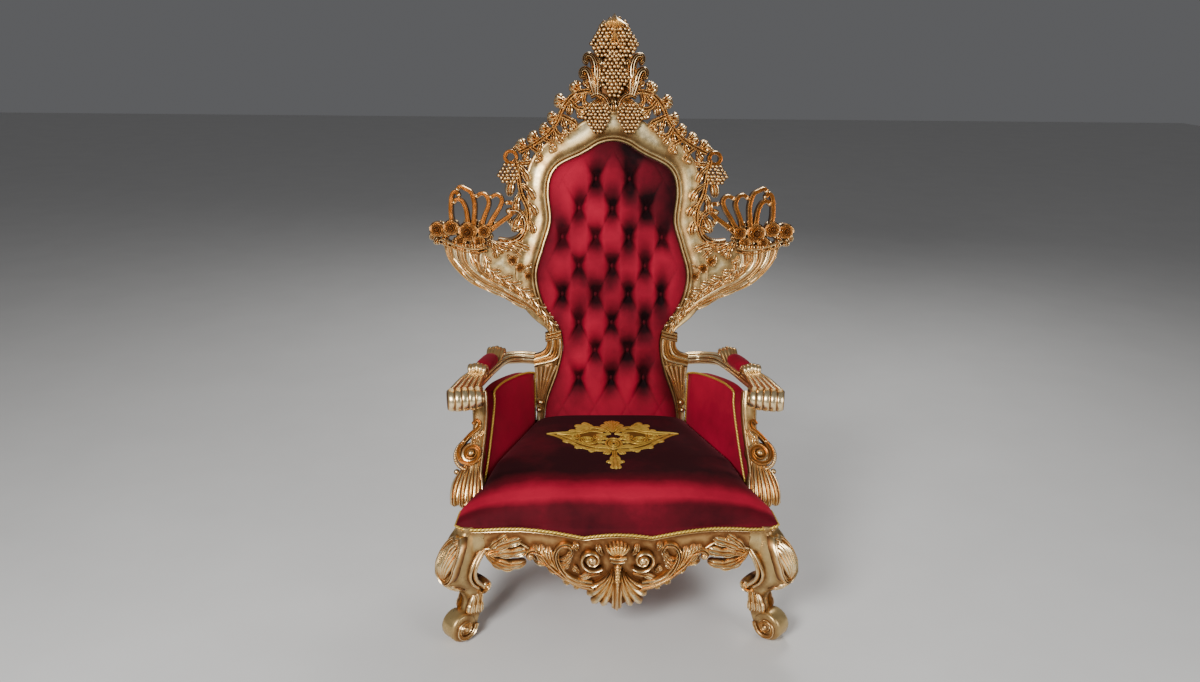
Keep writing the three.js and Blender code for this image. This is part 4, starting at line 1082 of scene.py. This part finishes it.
motif = {
    "wings": [[(12, -128), (60, -124), (106, -102), (150, -52), (186, -12), (216, 10)],
              [(22, 44), (62, 58), (104, 30), (150, 18), (190, 14), (216, 10)],
              [(18, -104), (60, -98), (104, -72), (146, -30), (182, 2)],
              [(30, 20), (70, 30), (112, 8), (150, 0), (182, 6)]],
    "curls": [((84, -44), 40, 2.4, 2.3), ((40, -24), 20, 0.6, -1.7), ((132, -18), 22, 2.2, 1.8)],
    "leaves": [(0, 30, 24, 120), (0, 20, 40, 92), (10, 10, 52, 66), (58, 52, 134, 76), (62, 58, 106, 102),
               (70, 44, 128, 46), (90, -112, 130, -98), (48, -124, 84, -134), (8, -128, 30, -158),
               (2, -200, 24, -222), (2, -190, 18, -184), (120, -80, 168, -44), (100, 24, 150, 30),
               (6, 6, 60, -14), (8, -112, 62, -88), (22, -66, 58, -58), (16, -36, 60, -34),
               (20, -92, 70, -108)],
}


def buildEmbroidery():
    work = newWork()
    for points in motif["wings"]:
        line = smoothLine(points, 50)
        sweepOn(work, onSeat, line, np.linspace(9, 3, 50), 3.2, -2, channelSection)
    low, high = smoothLine(motif["wings"][0], 60)[9:], smoothLine(motif["wings"][1], 60)[9:]
    t = np.linspace(0, 1, 16)[None, :, None]
    ground = low[:, None] + (high - low)[:, None] * t
    skin = onSeat(ground[..., 0], ground[..., 1], 1.3)
    addSkin(work, np.concatenate([skin, skin[:, ::-1] - [0, 0, 0.004]], 1), 0.24, mirror=True)
    for centre, size, turn, turns in motif["curls"]:
        curl = spiralLine(centre, size, 5, turn, turns, 70)
        sweepOn(work, onSeat, curl, np.linspace(7, 4, 70), 3.2, -2, channelSection)
    for u0, v0, u1, v1 in motif["leaves"]:
        leafOn(work, onSeat, (u0, v0), (u1, v1), 0.14, 13, 4.4, 2, -2)
    leafOn(work, onSeat, (0, 20), (0, 130), 0, 14, 4.4, 3, -2, mirror=False)
    leafOn(work, onSeat, (0, -128), (0, -274), 0, 19, 4.4, 4, -2, mirror=False)
    a = turnRound(48)
    for size in (1.0, 0.62, 0.3):
        ring = np.stack([25 * size * np.cos(a), -74 + 42 * size * np.sin(a)], -1)
        sweepOn(work, onSeat, ring, 4.5, 3.6, -2, loop=True, mirror=False)
    finishWork(work, "seatEmbroidery", thread)


# rails and apron

rail = {
    "lower": [(386, 296), (346, 304), (312, 318), (284, 322), (258, 306), (232, 280), (196, 246),
              (150, 220), (112, 200), (78, 186), (44, 150), (20, 128), (0, 122)],
    "edge": 3, "steps": [(9, 0), (2, -3), (6, 0), (2, 2)],
    "plain": [("sideRails", ["side_rail_left", "side_rail_right"],
               (416.7, -337.7, 302), (461.7, 186, 371.7), -148.7),
              ("rearRail", ["rear_rail"], (-258.7, 189, 302), (258.7, 237, 371.7), 0)],
}


def onRail(x, z, w):
    x, z, w = np.broadcast_arrays(x, z, w)
    return settle(np.stack([x, -414.7 - bow(x) - w, z], -1))


def buildRails():
    work = newWork()
    half = smoothLine(rail["lower"], 90)
    line = np.vstack([half, (half * [-1, 1])[-2::-1]])[::-1]
    x, z = line[:, :1], line[:, 1:]
    top = np.full_like(z, 371.5)
    rings = [onRail(x, top, -45), onRail(x, top, -0.5)]
    rings += [onRail(x, mix(top, z + 4, share), 0) for share in np.linspace(0.03, 1, 22)]
    rings += [onRail(x, z + 1, -1.5), onRail(x, z, -5), onRail(x, z, -40), onRail(x, z + 4, -45)]
    shade = np.concatenate([[0.35, 0.5], np.linspace(0.52, 0.42, 22), [0.4, 0.35, 0.35, 0.35]])
    addSkin(work, np.concatenate(rings, 1), shade)
    finishWork(work, "frontRail", gilt, ["front_rail"])


def buildPlainRails():
    for name, nodes, low, high, slant in rail["plain"]:
        piece = addBlock(name, low, high)
        pickFaces(piece, lambda face: face.normal.y > 0.9)
        bpy.ops.transform.translate(value=(slant * mm, 0, 0))
        bpy.ops.mesh.select_all(action="SELECT")
        bpy.ops.mesh.bevel(offset=rail["edge"] * mm, segments=3, affect="EDGES")
        out = Vector((0.96, 0.27, 0)) if slant else Vector((0, 1, 0))
        bpy.ops.object.mode_set(mode="OBJECT")
        broad = max(face.area for face in piece.data.polygons if face.normal.dot(out) > 0.95)
        pickFaces(piece, lambda face: face.normal.dot(out) > 0.95 and face.area > 0.9 * broad)
        for width, depth in rail["steps"]:  # a sunk panel with a raised field
            bpy.ops.mesh.inset(thickness=width * mm, depth=depth * mm)
        finishTimber(piece, 0.72, cream, nodes, pair=slant != 0)


apron = {
    "volute": (74, 284, 41),
    "fingers": [(10, 250, 44, 122, 14), (14, 248, 74, 130, 15), (18, 242, 88, 158, 14),
                (26, 236, 92, 188, 11)],
    "scroll": [(74, 200), (112, 206), (148, 226), (172, 262), (178, 300), (164, 324), (142, 328),
               (132, 312), (142, 302)],
    "sprigs": [((40, 296), (58, 330), -0.2), ((112, 236), (132, 256), 0.2), ((46, 232), (112, 214), 0.2),
               ((112, 310), (122, 336), -0.2)],
    "stem": [(70, 190), (112, 202), (158, 228), (196, 262), (222, 298), (246, 306), (260, 294), (252, 282)],
    "above": [((172, 240), (222, 324)), ((190, 256), (240, 322)), ((158, 230), (200, 318))],
    "below": [((150, 222), (206, 240)), ((180, 246), (246, 264)), ((118, 206), (160, 196)),
              ((96, 200), (128, 178))],
    "palm": [((274, 334), -0.1, 15), ((314, 347), -0.16, 11), ((256, 302), 0.08, 16),
             ((296, 244), 0.36, 15), ((266, 258), 0.3, 13), ((326, 304), 0.04, 11)],
}


def buildApron():
    work = newWork()
    edge = smoothLine([(386, 300), (346, 308), (312, 322), (284, 326), (258, 310)], 40)
    sweepOn(work, onRail, edge, 4, 7, -4)
    shellOn(work, onRail, 294, 35, 340, 14, 8, -4, 5, mirror=False)  # in the middle of the rail
    for z, half in ((292, 25), (281, 20)):
        line = smoothLine([(-half, z + 2), (0, z - 2), (half, z + 2)], 20)
        sweepOn(work, onRail, line, 5.5, 26, -4, mirror=False)
    u, z, r = apron["volute"]
    scroll = spiralLine((u, z), r, 7, -2.4, 2.0, 90)
    sweepOn(work, onRail, scroll, np.linspace(5.5, 7.5, 90), np.linspace(22, 30, 90), -4)
    ballsOn(work, onRail, [(u, z, 20, 10)])
    for k, (u0, z0, u1, z1, wide) in enumerate(apron["fingers"]):
        bend = -0.1 - 0.05 * k
        leafOn(work, onRail, (u0, z0), (u1, z1), bend, wide, 19 - 2 * k, 1, -9, 10, 1)
        tip = (mix(u0, u1, 0.72), mix(z0, z1, 0.72))
        leafOn(work, onRail, (u0, z0), tip, bend, 0.4 * wide, 25 - 2 * k, 1, 2, 6, 1)
    leafOn(work, onRail, (0, 262), (0, 106), 0, 17, 20, 1, -9, 8, 2, mirror=False)
    leafOn(work, onRail, (13, 276), (9, 206), -0.24, 9, 31, 1, -4, 4, 1)
    line = smoothLine([(0, 276), (0, 200), (0, 120)], 20)
    sweepOn(work, onRail, line, np.linspace(8, 3, 20), np.linspace(32, 24, 20), 4, mirror=False)
    for k in range(9):  # rings round the middle stem
        z = 270 - 10 * k
        ring = smoothLine([(k - 10, z), (0, z - 2), (10 - k, z)], 8)
        sweepOn(work, onRail, ring, 3.2, 34 - 0.8 * k, 6, mirror=False)
    x = np.linspace(-456, 456, 190)
    fillet = np.stack([x, chair["railTop"] - braidDrop(x) - 10], -1)  # under the braid
    sweepOn(work, onRail, fillet, 2.6, 5, -4, mirror=False)
    scroll = smoothLine(apron["scroll"], 60)
    sweepOn(work, onRail, scroll, np.linspace(14, 7, 60), 22, -8, flutedSection())
    for k in range(3):
        leafOn(work, onRail, (168, 252 + 14 * k), (142 - 6 * k, 268 + 20 * k), 0.3, 11, 18, 2, -4)
    for a, b, bend in apron["sprigs"]:
        leafOn(work, onRail, a, b, bend, 11, 16, 2, -4, 3)
    stem = smoothLine(apron["stem"], 60)
    sweepOn(work, onRail, stem, np.linspace(13, 8, 60), 24, -20, flutedSection())
    ballsOn(work, onRail, [(253, 288, 10, 12)])
    for a, b in apron["above"]:
        leafOn(work, onRail, a, b, -0.22, 13, 18, 3, -4, 3)
    for a, b in apron["below"]:
        leafOn(work, onRail, a, b, 0.24, 13, 18, 2, -24, 4)
    for b, bend, wide in apron["palm"]:
        leafOn(work, onRail, (384, 284), b, bend, wide + 2, 15, 3, -14, 5)
    finishWork(work, "apron", gilt)


# legs

leg = {
    "corner": (432, -385),
    "levels": [372, 354, 336, 306, 276, 244, 220, 204, 186, 168, 150, 132, 110, 88, 66, 46, 28],
    "outer": [36, 39, 62, 86, 102, 108, 104, 96, 80, 58, 38, 29, 28, 34, 44, 40, 40],
    "inner": [-12, -12, -12, -12, -8, 11, 16, 12, 2, -12, -24, -32, -30, -24, -18, -8, 4],
    "half": [31, 31, 32, 34, 37, 38, 38, 37, 34, 31, 29, 27, 26, 26, 27, 27, 27],
    "block": [(42, 0), (36, 9), (-12, 54), (-44, 22), (-44, -22), (-12, -54), (36, -9)],
    "scroll": (52, 46, 45),
    "frame": [(0, 218), (26, 240), (34, 280), (28, 322), (12, 344), (0, 340), (-12, 344), (-28, 322),
              (-34, 280), (-26, 240)],
}


def onLeg(p, q, z):
    p, q, z = np.broadcast_arrays(p, q, z)
    d = math.sqrt(0.5)
    return settle(np.stack([leg["corner"][0] + d * (p + q), leg["corner"][1] + d * (q - p), z], -1))


def buildLegs():
    work = newWork()
    z = np.linspace(371.6, 28, 70)
    profiles = []
    for key in ("outer", "inner", "half"):
        line = smoothLine(np.stack([leg["levels"], leg[key]], -1), 200)[::-1]
        profiles.append(np.interp(z, line[:, 0], line[:, 1])[:, None])
    outer, inner, half = profiles
    a = turnRound(48)
    c, d = softPower(np.cos(a), 0.7), softPower(np.sin(a), 0.7)
    shaft = np.stack([(outer + inner) / 2 + (outer - inner) / 2 * c, half * d], -1)
    block = evenLine(np.array(leg["block"] + leg["block"][:1], float), 300)
    grow = ease(z, 270, 304)
    middle = np.array([8.0, 0.0])
    plan = block - middle
    plan = plan[np.argsort(np.arctan2(plan[:, 1], plan[:, 0]))]
    ways = np.arctan2(plan[:, 1], plan[:, 0])
    far = np.hypot(plan[:, 0], plan[:, 1])
    for k in range(len(z)):  # the shaft widens to the block that the rails join
        own = shaft[k] - middle
        turn = np.arctan2(own[:, 1], own[:, 0])
        reach = np.interp(turn, ways, far, period=tau)
        size = np.hypot(own[:, 0], own[:, 1])
        shaft[k] = middle + own * (np.maximum(size, mix(size, reach, grow[k])) / size)[:, None]
    rings = onLeg(shaft[..., 0], shaft[..., 1], z[:, None])
    addSkin(work, rings, 0.56, mirror=True)
    p, h, r = leg["scroll"]
    a = turnRound(40)[None, :]
    q = np.array([-30, -30, -27, -20, 0, 20, 27, 30, 30], float)[:, None]
    girth = r * np.array([0.3, 0.82, 0.95, 1, 1.0, 1, 0.95, 0.82, 0.3])[:, None]
    rings = onLeg(p + girth * np.cos(a), q + 0 * a, np.maximum(h + girth * np.sin(a), 0))
    addSkin(work, rings, 0.54, mirror=True)
    finishWork(work, "frontLegs", cream, ["front_leg_left", "front_leg_right"])


def legAt(key, z):
    return np.interp(z, leg["levels"][::-1], leg[key][::-1])


def buildLegCarving():
    work = newWork()
    p, h, r = leg["scroll"]
    for way in (-1, 1):  # both broad sides of the leg
        def onFlank(p, z, w, way=way):
            return onLeg(p, way * (legAt("half", z) + w - 3), z)

        def onCheek(p, z, w, way=way):  # the side of the foot's scroll
            return onLeg(p, way * (29 + w), np.maximum(z, 0))

        band = smoothLine([(-34, 296), (2, 262), (19, 226), (10, 194), (-14, 166)], 40)
        sweepOn(work, onFlank, band, 8, 15, -8)
        sweepOn(work, onFlank, band + [16, -3], 6.5, 11, -8)
        scroll = spiralLine((-27, 158), 25, 5, -0.4, -1.6, 50)
        sweepOn(work, onFlank, scroll, np.linspace(7.5, 5, 50), 13, -34)
        ballsOn(work, onFlank, [(-25, 160, 2, 8)])
        for k in range(3):  # the leaf that wraps the ankle
            leafOn(work, onFlank, (-18 + 15 * k, 142), (-10 + 20 * k, 66 + 6 * k), 0.1, 14, 12, 2, -8, 3)
        scroll = spiralLine((p, h), r - 5, 6, math.pi, 2.0, 90)
        sweepOn(work, onCheek, scroll, np.linspace(7, 5, 90), 8, -8, channelSection)
        ballsOn(work, onCheek, [(p, h, 2, 10)])

    def onKnee(q, z, w):  # the outer corner of the knee
        return onLeg(legAt("outer", z) + w - 6 - 0.006 * (q - 12) ** 2, q - 12, z)

    shellOn(work, onKnee, 234, 29, 336, 22, 7, -6, 4)
    frameLine = smoothLine(leg["frame"], 70, loop=True)
    sweepOn(work, onKnee, frameLine, 6, 18, -6, flutedSection(2), loop=True)
    for k in range(3):
        leafOn(work, onKnee, (0, 222), (18 * (k - 1), 172 + 6 * abs(k - 1)), 0.1 * (k - 1), 11, 14, 3, -6)
    finishWork(work, "legCarving", gilt)


rearLeg = {
    "place": (285, 213), "round": 11, "splay": 0.25,
    "stations": [(371.7, 0, 26), (260, 0, 26), (160, 18, 20), (90, 44, 17), (26, 76, 20), (0, 84, 24)],
}


def buildRearLegs():
    line = smoothLine(rearLeg["stations"], 22)
    line[-1][0] = 0
    height, lean, half = line[0]
    x, y = rearLeg["place"]
    bpy.ops.object.select_all(action="DESELECT")
    bpy.ops.mesh.primitive_plane_add(size=2 * half * mm, location=settle((x, y, height)))
    bpy.ops.object.transform_apply(location=True, rotation=True, scale=True)
    piece = bpy.context.object
    piece.name = "rearLegs"
    bpy.ops.object.mode_set(mode="EDIT")
    bpy.ops.mesh.select_all(action="SELECT")
    bpy.ops.mesh.bevel(offset=rearLeg["round"] * mm, segments=4, affect="VERTICES")
    bpy.ops.mesh.select_all(action="SELECT")
    for nextHeight, nextLean, nextHalf in line[1:]:  # drawn down to the foot, raking backwards
        move = np.array([rearLeg["splay"] * (nextLean - lean), nextLean - lean, nextHeight - height]) * mm
        bpy.ops.mesh.extrude_region_move(TRANSFORM_OT_translate={"value": move})
        centre = settle((x + rearLeg["splay"] * nextLean, y + nextLean, nextHeight))
        grow = nextHalf / half
        bpy.ops.transform.resize(value=(grow, grow, 1), center_override=centre)
        height, lean, half = nextHeight, nextLean, nextHalf
    finishTimber(piece, 0.7, cream, ["rear_leg_left", "rear_leg_right"])


buildArms()
buildPosts()
buildPostCarving()
buildSeat()
buildPanels()
buildBraid()
buildEmbroidery()
buildRails()
buildPlainRails()
buildApron()
buildLegs()
buildLegCarving()
buildRearLegs()
print("seat, arms and legs built")


def shadeBeside(flats, carvings, near=1.5, far=20):  # the pale leaf browns towards the carving
    spots = [v.co for name in carvings for v in bpy.data.objects[name].data.vertices][::3]
    tree = KDTree(len(spots))
    for i, spot in enumerate(spots):
        tree.insert(spot, i)
    tree.balance()
    for name in flats:
        mesh = bpy.data.objects[name].data
        layer = mesh.attributes["relief"].data
        for v in mesh.vertices:
            gap = tree.find(v.co)[2] / mm
            layer[v.index].value *= float(mix(0.5, 1, ease(gap, near, far)))


shadeBeside(["backFrame", "frontLegs", "armPosts", "frontRail"],
            ["wings", "vines", "crest", "stileCarving", "postCarving", "legCarving", "arms", "apron"])


# floor, light and camera

studio = {
    "floor": (0.74, 0.73, 0.71), "world": 0.12,
    "lamps": [("key", (-1.7, -3.2, 2.5), 170, 1.3), ("fill", (2.6, -2.4, 1.6), 45, 1.8),
              ("rim", (0.6, 2.4, 3.4), 70, 1.4)],
}
view = {
    "place": (-0.125, -2.80 + chair["shift"] * mm, 1.749),
    "yaw": 1.62, "pitch": 18.76, "roll": 0.67, "focal": 933.9, "width": 1200, "sensor": 36,
}


def buildStudio():
    material, nodes, links, shader = newMaterial("paleFloor", Roughness=0.6)
    shades = [(0.3, studio["floor"]), (0.7, tuple(0.96 * c for c in studio["floor"]))]
    addRamp(nodes, links, addNoise(nodes, links, 3.0, 3), shades, shader.inputs["Base Color"])
    bpy.ops.mesh.primitive_plane_add(size=24, location=(0, 4, -0.0005))
    floor = bpy.context.object
    floor.name = "floor"
    floor.data.materials.append(material)
    world = bpy.context.scene.world or bpy.data.worlds.new("studio")
    bpy.context.scene.world = world
    world.use_nodes = True
    world.node_tree.nodes["Background"].inputs["Color"].default_value = (0.95, 0.96, 1.0, 1)
    world.node_tree.nodes["Background"].inputs["Strength"].default_value = studio["world"]
    for name, place, power, size in studio["lamps"]:
        bpy.ops.object.light_add(type="AREA", location=place)
        lamp = bpy.context.object
        lamp.name = name
        lamp.data.energy = power
        lamp.data.size = size
        lamp.rotation_euler = (Vector((0, 0.1, 0.85)) - Vector(place)).to_track_quat("-Z", "Y").to_euler()


def buildCamera():
    yaw, pitch, roll = (math.radians(view[k]) for k in ("yaw", "pitch", "roll"))
    ahead = Vector((math.sin(yaw) * math.cos(pitch), math.cos(yaw) * math.cos(pitch), -math.sin(pitch)))
    level = Vector((math.cos(yaw), -math.sin(yaw), 0))
    upward = level.cross(ahead)
    across = math.cos(roll) * level + math.sin(roll) * upward
    rise = -math.sin(roll) * level + math.cos(roll) * upward
    bpy.ops.object.camera_add(location=view["place"])
    camera = bpy.context.object
    camera.data.sensor_width = view["sensor"]
    camera.data.lens = view["sensor"] * view["focal"] / view["width"]
    turned = Matrix((across, rise, -ahead)).transposed().to_4x4()
    camera.matrix_world = Matrix.Translation(view["place"]) @ turned
    bpy.context.scene.camera = camera


buildStudio()
buildCamera()
print("studio ready")
